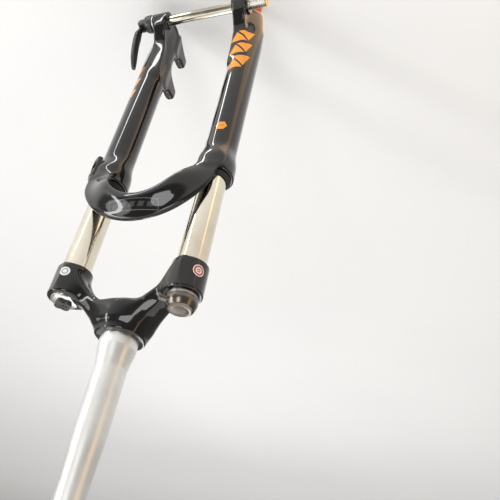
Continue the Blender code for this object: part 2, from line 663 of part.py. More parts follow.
def make_spring_parts(maker):
    coil = spring_sections(PLUNGER_BOTTOM - GAP, SEAT_TOP + GAP)
    maker.add("coil_spring", lofted_mesh(coil), "steel", at=SPRING_SIDE)
    plug = tube_profile(ROD_RADIUS + GAP, PLUG_RADIUS, STANCHION_BOTTOM, PLUG_TOP)
    maker.add("spring_end_plug", turned_mesh(plug, SMALL_SEGMENTS), "black", at=SPRING_SIDE)
    spigot = SPRING_RADIUS - SPRING_WIRE_RADIUS - 0.6 * MM
    seat = [
        (0, SEAT_BOTTOM),
        (PLUG_RADIUS, SEAT_BOTTOM),
        (PLUG_RADIUS, SEAT_TOP),
        (spigot, SEAT_TOP),
        (spigot - 1 * MM, SEAT_TOP + 9 * MM),
        (0, SEAT_TOP + 9 * MM),
    ]
    maker.add("spring_seat", turned_mesh(seat, SMALL_SEGMENTS), "black", "lowers", SPRING_SIDE)
    bore = FOOT_SHANK_RADIUS + GAP
    rod = tube_profile(bore, ROD_RADIUS, LEG_FLOOR + GAP, SEAT_BOTTOM - GAP)
    maker.add("spring_rod", turned_mesh(rod, SMALL_SEGMENTS), "steel", "lowers", SPRING_SIDE)
    bumper = tube_profile(ROD_RADIUS + GAP, ROD_RADIUS + 5 * MM, PLUG_TOP + GAP, SEAT_BOTTOM - GAP)
    maker.add("top_out_bumper", turned_mesh(bumper, SMALL_SEGMENTS), "rubber", "lowers", SPRING_SIDE)
    bumper_top = STANCHION_BOTTOM - TRAVEL - GAP
    bottom_out = tube_profile(ROD_RADIUS + GAP, ROD_RADIUS + 7 * MM, LEG_FLOOR + GAP, bumper_top)
    bottom_out_mesh = turned_mesh(bottom_out, SMALL_SEGMENTS)
    maker.add("bottom_out_bumper", bottom_out_mesh, "rubber", "lowers", SPRING_SIDE)
    bolt = bar_profile(FOOT_SHANK_RADIUS, LEG_FOOT - 2 * MM, LEG_FLOOR + FOOT_SHANK_REACH)
    head_top = LEG_FOOT - GAP
    head = prism_mesh(regular_outline(6, FOOT_HEAD_RADIUS), head_top - FOOT_HEAD_HEIGHT, head_top)
    bolt_mesh = turned_mesh(bolt, SMALL_SEGMENTS)
    made = maker.add("spring_foot_bolt", bolt_mesh, "steel", "lowers", SPRING_SIDE)
    maker.helper(made, head, "UNION", SPRING_SIDE, body="lowers")


# ---------------------------------------------------------------- damper side

CARTRIDGE_RADIUS = STANCHION_BORE - GAP
CARTRIDGE_BORE = CARTRIDGE_RADIUS - CARTRIDGE_WALL
CARTRIDGE_TOP = CAP_BODY_BOTTOM - GAP
CARTRIDGE_BOTTOM = PLUG_TOP + GAP
VALVE_TOP = CARTRIDGE_TOP - 14 * MM
VALVE_BOTTOM = VALVE_TOP - 14 * MM
PISTON_BOTTOM = CARTRIDGE_BOTTOM + 6 * MM


def make_damper_tubes(maker):
    cap = [
        (SPOOL_RADIUS + GAP, CAP_BODY_BOTTOM),
        (PLUG_RADIUS, CAP_BODY_BOTTOM),
        (PLUG_RADIUS, CAP_BOTTOM),
        (CAP_FLANGE_RADIUS, CAP_BOTTOM),
        (CAP_FLANGE_RADIUS, CAP_BOTTOM + 4 * MM),
        (SPOOL_RADIUS + GAP, CAP_BOTTOM + 4 * MM),
    ]
    maker.add("damper_top_cap", turned_mesh(cap), "steel", at=DAMPER_SIDE)
    cartridge = tube_profile(CARTRIDGE_BORE, CARTRIDGE_RADIUS, CARTRIDGE_BOTTOM, CARTRIDGE_TOP)
    maker.add("damper_cartridge", turned_mesh(cartridge), "steel", at=DAMPER_SIDE)
    valve = tube_profile(SPOOL_RADIUS + GAP, CARTRIDGE_BORE - GAP, VALVE_BOTTOM, VALVE_TOP)
    maker.add("compression_valve", turned_mesh(valve, SMALL_SEGMENTS), "bronze", at=DAMPER_SIDE)
    head = tube_profile(ROD_RADIUS + GAP, PLUG_RADIUS, STANCHION_BOTTOM, PLUG_TOP)
    maker.add("damper_seal_head", turned_mesh(head, SMALL_SEGMENTS), "black", at=DAMPER_SIDE)


def make_damper_rod(maker):
    needle_bore = NEEDLE_RADIUS + GAP
    step = LEG_FLOOR + FOOT_SHANK_REACH + 2 * MM
    rod_top = PISTON_BOTTOM + PISTON_LENGTH + 3 * MM
    rod = [
        (FOOT_SHANK_RADIUS + GAP, LEG_FLOOR + GAP),
        (ROD_RADIUS, LEG_FLOOR + GAP),
        (ROD_RADIUS, rod_top),
        (needle_bore, rod_top),
        (needle_bore, step),
        (FOOT_SHANK_RADIUS + GAP, step),
    ]
    maker.add("damper_rod", turned_mesh(rod, SMALL_SEGMENTS), "steel", "lowers", DAMPER_SIDE)
    piston_top = PISTON_BOTTOM + PISTON_LENGTH
    piston = tube_profile(ROD_RADIUS + GAP, CARTRIDGE_BORE - GAP, PISTON_BOTTOM, piston_top)
    maker.add("damper_piston", turned_mesh(piston, SMALL_SEGMENTS), "bronze", "lowers", DAMPER_SIDE)
    nut_bottom = LEG_FOOT - GAP - FOOT_HEAD_HEIGHT
    nut = [
        (needle_bore, nut_bottom),
        (FOOT_HEAD_RADIUS, nut_bottom),
        (FOOT_HEAD_RADIUS, LEG_FOOT - GAP),
        (FOOT_SHANK_RADIUS, LEG_FOOT - GAP),
        (FOOT_SHANK_RADIUS, LEG_FLOOR + FOOT_SHANK_REACH),
        (needle_bore, LEG_FLOOR + FOOT_SHANK_REACH),
    ]
    maker.add("damper_foot_nut", turned_mesh(nut, SMALL_SEGMENTS), "steel", "lowers", DAMPER_SIDE)


def make_lockout(maker):
    """The round cap with its pointer, and the spool that it turns inside the damper."""
    base = CAP_BOTTOM + 4 * MM + GAP
    top = base + LEVER_CAP_HEIGHT
    cap = [
        (0, base),
        (LEVER_CAP_RADIUS, base),
        (LEVER_CAP_RADIUS, base + 4 * MM),
        (LEVER_CAP_RADIUS - 2.5 * MM, top - 2 * MM),
        (LEVER_CAP_RADIUS - 5 * MM, top),
        (0, top),
    ]
    lever = maker.add("lockout_lever", turned_mesh(cap), "bronze", "lockout_lever", DAMPER_SIDE)
    tip, root = 3.2 * MM, 7.5 * MM
    pointer = [(0, -root), (LEVER_REACH - tip, -tip), (LEVER_REACH, -tip * 0.5), (LEVER_REACH, tip * 0.5)]
    pointer += [(LEVER_REACH - tip, tip), (0, root)]
    turn = Matrix.Rotation(LEVER_ANGLE, 4, "Z")
    bar = prism_mesh(pointer, base + 2.5 * MM, base + 8.5 * MM)
    maker.helper(lever, bar, "UNION", DAMPER_SIDE, turn, "lockout_lever")
    spool = bar_profile(SPOOL_RADIUS, VALVE_BOTTOM - 4 * MM, base - GAP)
    maker.add("lockout_spool", turned_mesh(spool, 12), "steel", "lockout_lever", DAMPER_SIDE)


def make_rebound(maker):
    top = LEG_FOOT - GAP - FOOT_HEAD_HEIGHT - GAP
    knob_outline = lobed_outline(10, REBOUND_KNOB_RADIUS, 0.7 * MM, 40)
    knob = prism_mesh(knob_outline, top - REBOUND_KNOB_HEIGHT, top)
    maker.add("rebound_knob", knob, "red", "rebound_knob", DAMPER_SIDE)
    needle = bar_profile(NEEDLE_RADIUS, top + GAP, PISTON_BOTTOM + PISTON_LENGTH)
    maker.add("rebound_needle", turned_mesh(needle, 12), "steel", "rebound_knob", DAMPER_SIDE)


# ---------------------------------------------------------------- axle and quick release

WASHER_INNER = DROPOUT_OUTER + GAP
WASHER_OUTER = WASHER_INNER + 2.4 * MM
HOUSING_INNER = WASHER_OUTER + GAP
SEAT_CUP_LENGTH = 10.0 * MM  # the least the lever's cup may stand out from the washer
LEVER_INNER = max(HALF + LEG_RADIUS + LEG_CLEARANCE, HOUSING_INNER + SEAT_CUP_LENGTH)
PIN_X = LEVER_INNER + 5 * MM
SLEEVE_LENGTH = AXLE_STICK_OUT - 2.5 * MM
TIP_X = -(DROPOUT_OUTER + AXLE_STICK_OUT)
AXLE_END = -(DROPOUT_OUTER + 1.5 * MM)


def make_axle(maker):
    place = (0, AXLE_Y, AXLE_Z)
    tube = tube_profile(AXLE_BORE_RADIUS, AXLE_RADIUS, AXLE_END, WASHER_OUTER)
    maker.add("axle_tube", turned_mesh(tube, 24), "polished", "axle", place, ALONG_X)
    rings, sleeve_end = 6, TIP_X + 1.4 * MM
    length = AXLE_END - GAP - sleeve_end
    outside = []
    for ring in range(rings):
        start = sleeve_end + length * ring / rings
        outside += [(AXLE_RADIUS, start), (AXLE_RADIUS, start + 0.62 * length / rings)]
        outside += [(AXLE_RADIUS - 0.5 * MM, start + 0.70 * length / rings)]
    outside += [(AXLE_RADIUS - 0.5 * MM, sleeve_end + length)]
    sleeve = outside + [(AXLE_BORE_RADIUS, sleeve_end + length), (AXLE_BORE_RADIUS, sleeve_end)]
    maker.add("axle_end_sleeve", turned_mesh(sleeve, 24), "silver", "axle", place, ALONG_X)
    washer = tube_profile(AXLE_RADIUS + GAP, DROPOUT_RADIUS - 1 * MM, WASHER_INNER, WASHER_OUTER)
    maker.add("axle_washer", turned_mesh(washer, 24), "steel", "axle", place, ALONG_X)
    rod_end = PIN_X - CAM_RADIUS - 2 * GAP
    rod = bar_profile(PIN_RADIUS, TIP_X + 1 * MM, rod_end)
    pull = maker.add("axle_pull_rod", turned_mesh(rod, 12), "steel", "pull_rod", place, ALONG_X)
    tip = bar_profile(AXLE_RADIUS, TIP_X, TIP_X + 1.4 * MM - GAP, 0.3 * MM)
    maker.helper(pull, turned_mesh(tip, 24), "UNION", place, ALONG_X, "pull_rod")


def make_lever_head(maker):
    """The cup that seats on the washer, with two cheeks that hold the lever's pin."""
    place = (0, AXLE_Y, AXLE_Z)
    cup_outer = LEVER_INNER - 3 * MM
    cup = tube_profile(PIN_RADIUS + GAP, DROPOUT_RADIUS, HOUSING_INNER, cup_outer)
    housing = maker.add("lever_housing", turned_mesh(cup, 24), "black", "lever_head", place, ALONG_X)
    half_height = 6.5 * MM
    for side in (1, -1):
        near = AXLE_Y + side * (LEVER_WIDTH / 2 - CHEEK_THICKNESS)
        far = AXLE_Y + side * LEVER_WIDTH / 2
        low, high = sorted((near, far))
        outline = [(AXLE_Z - half_height, low), (AXLE_Z + half_height, low)]
        outline += [(AXLE_Z + half_height, high), (AXLE_Z - half_height, high)]
        ring = [[(x, y, z) for z, y in outline] for x in (cup_outer - 2 * MM, PIN_X + 5 * MM)]
        maker.helper(housing, lofted_mesh(ring), "UNION", body="lever_head")
    reach = LEVER_WIDTH
    pin_hole = bar_profile(PIN_RADIUS, -reach, reach)
    centre = (PIN_X, AXLE_Y, AXLE_Z)
    maker.helper(housing, turned_mesh(pin_hole, 16), "DIFFERENCE", centre, ALONG_Y, "lever_head")
    pin = bar_profile(PIN_RADIUS - GAP, -LEVER_WIDTH / 2, LEVER_WIDTH / 2)
    maker.add("lever_pivot_pin", turned_mesh(pin, 16), "steel", "lever_head", centre, ALONG_Y)


def make_release_lever(maker):
    """A cam barrel on the pin with a curved blade that hugs the leg while it is closed."""
    centre = Vector((PIN_X, AXLE_Y, AXLE_Z))
    half = LEVER_WIDTH / 2 - CHEEK_THICKNESS - GAP
    barrel = bar_profile(CAM_RADIUS, -half, half, 0.5 * MM)
    barrel_mesh = turned_mesh(barrel, 20)
    lever = maker.add("quick_release_lever", barrel_mesh, "black", "release_lever", centre, ALONG_Y)
    sections = []
    steps = 10
    for step in range(steps + 1):
        share = step / steps
        height = AXLE_Z + LEVER_LENGTH * share
        spread = half + (LEVER_WIDTH / 2 - half) * smoothstep((share - 0.12) / 0.2)
        spread *= 1 - 0.35 * smoothstep((share - 0.8) / 0.2)
        inner = PIN_X - 2 * MM + 1.6 * MM * smoothstep(share / 0.3)
        outer = inner + LEVER_THICKNESS + 2 * MM * math.sin(math.pi * share)
        back = AXLE_Y + 18 * MM * share**2
        sections.append([
            (inner, back - spread + 1 * MM, height),
            (inner, back + spread - 1 * MM, height),
            (outer, back + spread - 2 * MM, height),
            (outer, back - spread + 2 * MM, height),
        ])
    maker.helper(lever, lofted_mesh(sections), "UNION", body="release_lever")
    hole = bar_profile(PIN_RADIUS, -LEVER_WIDTH, LEVER_WIDTH)
    maker.helper(lever, turned_mesh(hole, 16), "DIFFERENCE", centre, ALONG_Y, "release_lever")


# ---------------------------------------------------------------- hose guide

def make_hose_guide(maker):
    """A clip on the front of the disc-side leg, with a three-sided recess and its screw."""
    turn = GUIDE_TURN
    inner, outer = GUIDE_INNER, GUIDE_OUTER
    bottom = GUIDE_TOP - GUIDE_HEIGHT
    half = GUIDE_WIDTH / 2
    guide = maker.add("hose_guide", lofted_mesh(guide_rings()), "paint", "lowers", SPRING_SIDE, turn)
    recess_low, recess_high = bottom + 14 * MM, GUIDE_TOP - 3 * MM
    edge = -half + 2.5 * MM
    triangle = [(edge, recess_high), (edge, recess_low), (half - 3 * MM, recess_low)]
    pocket = lofted_mesh([[(x, y, z) for y, z in triangle] for x in (outer - 3 * MM, outer + 5 * MM)])
    maker.helper(guide, pocket, "DIFFERENCE", SPRING_SIDE, turn, "lowers")
    screw_at = bottom + 8 * MM
    shank = 1.6 * MM
    place = Vector(SPRING_SIDE) + turn @ Vector((0, 0, screw_at))
    along = turn @ ALONG_X
    hole = bar_profile(shank + GAP, inner - 5 * MM, outer + 5 * MM)
    maker.helper(guide, turned_mesh(hole, 12), "DIFFERENCE", place, along, "lowers")
    screw = [
        (0, inner),
        (shank, inner),
        (shank, outer + GAP),
        (3.2 * MM, outer + GAP),
        (2.6 * MM, outer + 2.2 * MM),
        (0, outer + 2.2 * MM),
    ]
    maker.add("hose_guide_screw", turned_mesh(screw, 16), "silver", "lowers", place, along)


def main():
    for old in list(bpy.data.objects):
        bpy.data.objects.remove(old)
    maker = Maker(make_materials())
    maker.body("upper", (0, 0, 0))
    maker.body("lowers", (0, 0, 0), "upper")
    maker.body("preload_knob", SPRING_SIDE, "upper")
    maker.body("preload_plunger", SPRING_SIDE, "upper")
    maker.body("lockout_lever", DAMPER_SIDE, "upper")
    maker.body("rebound_knob", DAMPER_SIDE, "lowers")
    maker.body("axle", (0, AXLE_Y, AXLE_Z), "lowers")
    maker.body("pull_rod", (0, AXLE_Y, AXLE_Z), "axle")
    maker.body("lever_head", (HOUSING_INNER, AXLE_Y, AXLE_Z), "axle")
    maker.body("release_lever", (PIN_X, AXLE_Y, AXLE_Z), "lever_head")

    make_steerer(maker)
    make_crown(maker)
    make_stanchions(maker)
    make_lower_casting(maker)
    make_seals_and_bushes(maker)
    make_spring_cap(maker)
    make_preload(maker)
    make_spring_parts(maker)
    make_damper_tubes(maker)
    make_damper_rod(maker)
    make_lockout(maker)
    make_rebound(maker)
    make_axle(maker)
    make_lever_head(maker)
    make_release_lever(maker)
    make_hose_guide(maker)


main()
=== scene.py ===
# %% [markdown]
# # A suspension fork for a mountain bike
# The fork is two tubes (stanchions) held by a crown, and one cast piece (the lowers) that slides on them.
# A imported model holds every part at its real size, so this script never moves anything: it gives each
# part a finer surface and a finish. Lengths are in metres and +Z runs up the steerer tube.

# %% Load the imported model
import math

import bmesh
import bpy
import numpy as np
from mathutils import Matrix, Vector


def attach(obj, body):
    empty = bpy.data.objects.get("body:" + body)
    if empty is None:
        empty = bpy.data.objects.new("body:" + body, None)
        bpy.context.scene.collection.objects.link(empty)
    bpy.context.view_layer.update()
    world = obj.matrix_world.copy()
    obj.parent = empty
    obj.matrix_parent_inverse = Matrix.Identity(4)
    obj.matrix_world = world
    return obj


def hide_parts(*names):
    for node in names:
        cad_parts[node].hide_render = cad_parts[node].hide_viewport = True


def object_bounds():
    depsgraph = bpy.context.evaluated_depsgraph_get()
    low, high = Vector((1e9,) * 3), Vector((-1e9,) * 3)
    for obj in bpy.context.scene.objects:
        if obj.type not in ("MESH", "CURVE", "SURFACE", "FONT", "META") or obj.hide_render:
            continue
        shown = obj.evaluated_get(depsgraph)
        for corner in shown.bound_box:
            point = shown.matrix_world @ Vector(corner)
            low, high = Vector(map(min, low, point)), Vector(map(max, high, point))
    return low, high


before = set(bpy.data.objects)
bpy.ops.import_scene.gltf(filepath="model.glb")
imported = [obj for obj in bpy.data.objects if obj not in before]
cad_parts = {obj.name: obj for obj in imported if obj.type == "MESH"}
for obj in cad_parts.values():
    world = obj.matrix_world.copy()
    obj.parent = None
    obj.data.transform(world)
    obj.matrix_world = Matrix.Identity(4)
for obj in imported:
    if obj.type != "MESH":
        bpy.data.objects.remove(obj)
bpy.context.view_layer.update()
MM = 0.001
TAU = 2 * math.pi

# %% [markdown]
# ## The sizes that pieces share
# The crown, the legs and the axle meet at a few places, so those places are named once, here. They are
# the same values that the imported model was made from, which keeps each new surface on its part.

# %% Shared sizes
HALF = 70.4 * MM  # from the middle to each stanchion's axis
LEG_Y = -19.2 * MM
AXLE_Y = -52.3 * MM
AXLE_Z = -507.5 * MM
STANCHION_RADIUS = 16.0 * MM
CLAMP_RADIUS = 20.1 * MM
CLAMP_TOP = -38.0 * MM
CLAMP_BOTTOM = -74.0 * MM
LEG_RADIUS = 19.6 * MM
LEG_TOP = -199.0 * MM
LEG_FOOT = -530.0 * MM
ARCH_TOP = -122.0 * MM
ARCH_RADIUS = 91.0 * MM
SPRING_SIDE = (HALF, LEG_Y, 0.0)
DAMPER_SIDE = (-HALF, LEG_Y, 0.0)
print("legs are", 2 * HALF / MM, "mm apart")

# %% [markdown]
# ## Shader maths
# A material is a graph of nodes. Writing each node by hand hides the sum that it does, so this class
# wraps an output socket: adding or multiplying two of them adds the Math node that does it.

# %% One value in a material
class Value:
    """An output socket. Arithmetic on it adds Math nodes, in either order."""

    def __init__(self, finish, socket):
        self.finish = finish
        self.socket = socket

    def sum_of(self, operation, first, second=None):
        inputs = {0: first} if second is None else {0: first, 1: second}
        return self.finish.node("ShaderNodeMath", {"operation": operation}, inputs)

    def __add__(self, other):
        return self.sum_of("ADD", self, other)

    def __radd__(self, other):
        return self.sum_of("ADD", other, self)

    def __sub__(self, other):
        return self.sum_of("SUBTRACT", self, other)

    def __rsub__(self, other):
        return self.sum_of("SUBTRACT", other, self)

    def __mul__(self, other):
        return self.sum_of("MULTIPLY", self, other)

    def __rmul__(self, other):
        return self.sum_of("MULTIPLY", other, self)

    def __truediv__(self, other):
        return self.sum_of("DIVIDE", self, other)

    def over(self, other):
        return self.sum_of("MAXIMUM", self, other)

    def under(self, other):
        return self.sum_of("MINIMUM", self, other)

    def size(self):
        return self.sum_of("ABSOLUTE", self)

    def step(self, start, end):
        """0 below start, 1 above end, and a smooth rise between them. start may be the larger one."""
        low, high, out = (start, end, (0.0, 1.0)) if start < end else (end, start, (1.0, 0.0))
        inputs = {"Value": self, "From Min": low, "From Max": high, "To Min": out[0], "To Max": out[1]}
        return self.finish.node("ShaderNodeMapRange", {"interpolation_type": "SMOOTHSTEP"}, inputs)


# %% One finish
class Finish:
    """A material, and the one way in which a node is added to it."""

    def __init__(self, name):
        self.material = bpy.data.materials.new(name)
        self.material.use_nodes = True
        self.tree = self.material.node_tree
        self.shader = self.tree.nodes["Principled BSDF"]

    def fill(self, node, inputs):
        for key, value in inputs.items():
            if isinstance(value, Value):
                self.tree.links.new(value.socket, node.inputs[key])
            else:
                node.inputs[key].default_value = value

    def node(self, kind, settings=None, inputs=None, output=0):
        made = self.tree.nodes.new(kind)
        for key, value in (settings or {}).items():
            setattr(made, key, value)
        self.fill(made, inputs or {})
        return Value(self, made.outputs[output])

    def place(self):
        """Where on the object a point is, and its x, y and z, in metres."""
        where = self.node("ShaderNodeTexCoord", output="Object")
        parts = [self.node("ShaderNodeSeparateXYZ", inputs={0: where}, output=axis) for axis in range(3)]
        return where, parts

    def noise(self, where, scale, detail=2.0, stretch=(1.0, 1.0, 1.0), roughness=0.5):
        """Cloudy noise from 0 to 1, with scale waves in a metre; stretch thins it along an axis."""
        if stretch != (1.0, 1.0, 1.0):
            where = self.node("ShaderNodeMapping", inputs={"Vector": where, "Scale": stretch})
        inputs = {"Vector": where, "Scale": scale, "Detail": detail, "Roughness": roughness}
        return self.node("ShaderNodeTexNoise", inputs=inputs)

    def mix(self, mask, first, second):
        """The first colour where mask is 0 and the second where it is 1."""
        made = self.tree.nodes.new("ShaderNodeMix")
        made.data_type = "RGBA"
        colours = {6: first, 7: second}
        opaque = {k: v if isinstance(v, Value) else (*v, 1.0) for k, v in colours.items()}
        self.fill(made, {0: mask, **opaque})
        return Value(self, made.outputs[2])

    def bump(self, height, distance, strength=1.0):
        inputs = {"Height": height, "Distance": distance, "Strength": strength}
        return self.node("ShaderNodeBump", inputs=inputs)

    def finish(self, **inputs):
        """Sets the shader's sockets; a name such as base_color stands for Base Color."""
        names = {"coat_ior": "Coat IOR", "ior": "IOR", "specular": "Specular IOR Level"}
        self.fill(self.shader, {names.get(k, k.replace("_", " ").title()): v for k, v in inputs.items()})
        return self.material


print("shader helpers ready")

# %% [markdown]
# ## Grids of points
# Most pieces here are round or swept, so each is one grid of points: one number runs along the piece and
# the other round it. numpy works out all points at once, and neighbours in the grid make the faces.

# %% Faces of a grid
def grid_faces(rows, columns, loop_rows=False, loop_columns=True):
    """Quads between neighbouring points of a grid; a loop joins the last row or column to the first."""
    down = np.arange(rows if loop_rows else rows - 1)
    across = np.arange(columns if loop_columns else columns - 1)
    row, column = np.meshgrid(down, across, indexing="ij")
    below, beside = (row + 1) % rows, (column + 1) % columns
    here, under = row * columns, below * columns
    corners = (here + column, under + column, under + beside, here + beside)
    return np.stack(corners, -1).reshape(-1, 4)


def merged(*surfaces):
    """Several (points, faces) surfaces as one."""
    starts = np.cumsum([0] + [len(points) for points, _ in surfaces[:-1]])
    faces = [faces + start for (_, faces), start in zip(surfaces, starts)]
    return np.concatenate([points for points, _ in surfaces]), np.concatenate(faces)


def placed(surface, at=(0, 0, 0), turn=None):
    """The surface turned by a matrix and then moved."""
    points, faces = surface
    if turn is not None:
        points = points @ np.array(turn.to_3x3()).T
    return points + np.array(at), faces


ALONG_X = Matrix.Rotation(math.pi / 2, 4, "Y")
ALONG_Y = Matrix.Rotation(-math.pi / 2, 4, "X")

# %% A profile with soft corners
def softened(outline, size, closed=True, steps=5):
    """Each corner of an outline becomes a short curve: (1-t)^2 A + 2t(1-t) P + t^2 B, where A and B lie
    on the corner's two sides, size away from the corner P, or at 0.45 of the side if that is less."""
    points = np.asarray(outline, float)
    before, after = np.roll(points, 1, 0) - points, np.roll(points, -1, 0) - points
    reach = [np.minimum(size, 0.45 * np.linalg.norm(v, axis=1)) for v in (before, after)]
    near = [
        points + v / np.linalg.norm(v, axis=1)[:, None] * r[:, None]
        for v, r in zip((before, after), reach)
    ]
    t = np.linspace(0, 1, steps)[None, :, None]
    curve = (1 - t) ** 2 * near[0][:, None] + 2 * t * (1 - t) * points[:, None] + t**2 * near[1][:, None]
    if closed:
        return curve.reshape(-1, 2)
    return np.concatenate([points[:1], curve[1:-1].reshape(-1, 2), points[-1:]])


def turned(profile, columns=128, waves=None):
    """A surface of revolution: (r cos a, r sin a, h) for each (r, h) of the profile and each angle a.
    waves, a function of the angles, multiplies the radius. A profile that starts and ends at radius 0
    makes a solid, and any other one is a closed loop."""
    profile = np.asarray(profile, float)
    angle = np.arange(columns) * TAU / columns
    scale = np.ones(columns) if waves is None else waves(angle)
    radius = profile[:, :1] * scale
    height = np.broadcast_to(profile[:, 1:], radius.shape)
    points = np.stack([radius * np.cos(angle), radius * np.sin(angle), height], -1)
    solid = abs(profile[0, 0]) < 1e-9
    return points.reshape(-1, 3), grid_faces(len(profile), columns, loop_rows=not solid)


def tube(inner, outer, bottom, top, soft=0.4 * MM):
    return softened([(inner, bottom), (outer, bottom), (outer, top), (inner, top)], soft)


def rod(radius, bottom, top, soft=0.4 * MM):
    return softened([(0, bottom), (radius, bottom), (radius, top), (0, top)], soft, closed=False)


# %% Put a surface in the scene
def piece(name, surface, finish, slot, body, *nodes, sharp=38.0):
    """Makes the object: doubles merged, faces turned outwards, and edges sharper than the angle kept."""
    points, faces = surface
    mesh = bpy.data.meshes.new(name)
    mesh.from_pydata(points.tolist(), [], faces.tolist())
    working = bmesh.new()
    working.from_mesh(mesh)
    bmesh.ops.remove_doubles(working, verts=working.verts, dist=1e-6)
    bmesh.ops.dissolve_degenerate(working, edges=working.edges, dist=1e-7)
    bmesh.ops.recalc_face_normals(working, faces=working.faces)
    working.to_mesh(mesh)
    working.free()
    mesh.shade_smooth()
    mesh.set_sharp_from_angle(angle=math.radians(sharp))
    mesh.materials.append(finish)
    made = bpy.data.objects.new(name, mesh)
    bpy.context.scene.collection.objects.link(made)
    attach(made, body)
    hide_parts(*nodes)
    print(f"{name}: {len(mesh.polygons)} faces")
    return made

# %% [markdown]
# ## Gloss black paint, with its marks
# The crown and the lowers are cast, painted black and lacquered. The lacquer is a second shiny layer, so
# it is the shader's coat, over a base that is darker and rougher. Close up such paint has faint waves,
# fine dust that dulls it in patches, and small scratches. The printed marks are plain blocks, worked out
# as distances on the leg unrolled flat: one way is the angle times the radius, and the other is height.

# %% Shapes for the printed marks
def block(u, v, width, height, lean=0.0):
    """1 inside a box centred on the origin of u and v, whose sides lean over by that share of v."""
    across = (u - v * lean).size() - width / 2
    along = v.size() - height / 2
    return across.over(along).step(0.2 * MM, -0.2 * MM)


def disc(u, v, radius, hole=0.0):
    squared = u * u + v * v
    away = squared.sum_of("SQRT", squared)
    mask = (away - radius).step(0.25 * MM, -0.25 * MM)
    return mask if not hole else mask * (away - hole).step(-0.25 * MM, 0.25 * MM)


def hexagon(u, v, radius):
    """1 inside a hexagon: the largest of its three pairs of sides' distances is under the radius."""
    slant = (u.size() * 0.866 + v.size() * 0.5).over(v.size())
    return (slant - radius).step(0.25 * MM, -0.25 * MM)


def unrolled(finish, x, y, z, side, degrees, height, radius):
    """Distances round a leg and along it, from a point at an angle and a height on that leg."""
    angle = math.radians(degrees)
    cx, cy = x - side * HALF, y - LEG_Y
    turned_x = cx * math.cos(angle) + cy * math.sin(angle)
    turned_y = cy * math.cos(angle) - cx * math.sin(angle)
    return turned_x.sum_of("ARCTAN2", turned_y, turned_x) * radius, z - height, turned_x.step(0.0, 4 * MM)


# %% Paint
def gloss_paint(name, marks=None):
    finish = Finish(name)
    where, (x, y, z) = finish.place()
    cloud = finish.noise(where, 14.0, 3.0)
    dust = finish.noise(where, 1500.0, 2.0).step(0.66, 0.74) * finish.noise(where, 30.0, 3.0).step(0.45, 0.75)
    scratch = finish.noise(where, 90.0, 3.0, (1.0, 1.0, 0.06)).step(0.70, 0.73) * cloud.step(0.45, 0.65)
    colour = finish.mix(cloud.step(0.3, 0.7), (0.0025, 0.0025, 0.003), (0.006, 0.0055, 0.0055))
    rough = 0.16 + 0.12 * cloud.step(0.4, 0.8)
    if marks:
        for mask, tint in marks(finish, x, y, z):
            worn = finish.noise(where, 700.0, 3.0).step(0.24, 0.34)
            colour = finish.mix(mask * worn, colour, tint)
    colour = finish.mix(dust * 0.55, colour, (0.30, 0.28, 0.25))
    colour = finish.mix(scratch * 0.30, colour, (0.25, 0.25, 0.26))
    waves = finish.bump(finish.noise(where, 260.0, 1.5), 0.00003, 0.35)
    return finish.finish(base_color=colour, roughness=rough + 0.35 * dust + 0.2 * scratch, normal=waves,
                         coat_weight=1.0, coat_roughness=0.03, coat_ior=1.5, specular=0.08)


ORANGE = (0.90, 0.33, 0.010)
WHITE = (0.80, 0.80, 0.78)
RED = (0.62, 0.05, 0.03)
GREY = (0.10, 0.10, 0.10)


def leg_marks(finish, x, y, z):
    """Blocks on the damper leg's face, a hexagon sticker, a strip on the other leg, and the arch's plate."""
    found = []
    u, v, front = unrolled(finish, x, y, z, -1, -92.0, -421 * MM, LEG_RADIUS)
    for at, width, height, lean in ((-30, 23, 20, 0.35), (-4, 23, 20, 0.35), (25, 23, 25, 0.35)):
        shape = block(u, v - at * MM, width * MM, height * MM, lean)
        slit = block(u, v - at * MM, 3.2 * MM, 30 * MM, -0.8)
        found.append((shape * (1 - slit) * front, ORANGE))
    u, v, front = unrolled(finish, x, y, z, -1, -97.0, -269 * MM, LEG_RADIUS)
    sticker = hexagon(u, v, 6.4 * MM)
    found.append((sticker * front, ORANGE))
    found.append((block(u, v, 6.5 * MM, 1.2 * MM) * front, GREY))
    u, v, front = unrolled(finish, x, y, z, 1, -48.0, -386 * MM, LEG_RADIUS)
    for at in (-25, 0, 25):
        shape = block(u, v - at * MM, 17 * MM, 18 * MM, 0.35)
        slit = block(u, v - at * MM, 2.8 * MM, 26 * MM, -0.8)
        found.append((shape * (1 - slit) * front, ORANGE))
    across, up = x, z + 135.5 * MM
    plate = block(across, up, 62 * MM, 11.5 * MM) - block(across, up, 60.4 * MM, 9.9 * MM)
    facing = y.step(-40 * MM, -44 * MM)
    found.append((plate * facing, GREY))
    for at in (-22, -11, 0, 11, 22):
        found.append((block(across - at * MM, up, 7.0 * MM, 4.6 * MM, 0.5) * facing, (0.05, 0.05, 0.05)))
    return found


def crown_marks(finish, x, y, z):
    """A plain round sticker on each clamp."""
    u, v, front = unrolled(finish, x, y, z, 1, -101.0, -61 * MM, CLAMP_RADIUS)
    found = [(disc(u, v, 5.4 * MM) * front, WHITE), (disc(u, v, 3.4 * MM, 2.5 * MM) * front, GREY)]
    u, v, front = unrolled(finish, x, y, z, -1, -146.0, -60 * MM, CLAMP_RADIUS)
    found += [(disc(u, v, 6.6 * MM) * front, WHITE), (disc(u, v, 5.6 * MM, 3.6 * MM) * front, RED)]
    return found + [(disc(u, v, 2.0 * MM, 1.0 * MM) * front, GREY)]


lowers_paint = gloss_paint("lowers_gloss_paint", leg_marks)
crown_paint = gloss_paint("crown_gloss_paint", crown_marks)
plain_paint = gloss_paint("plain_gloss_paint")
print("paint ready")

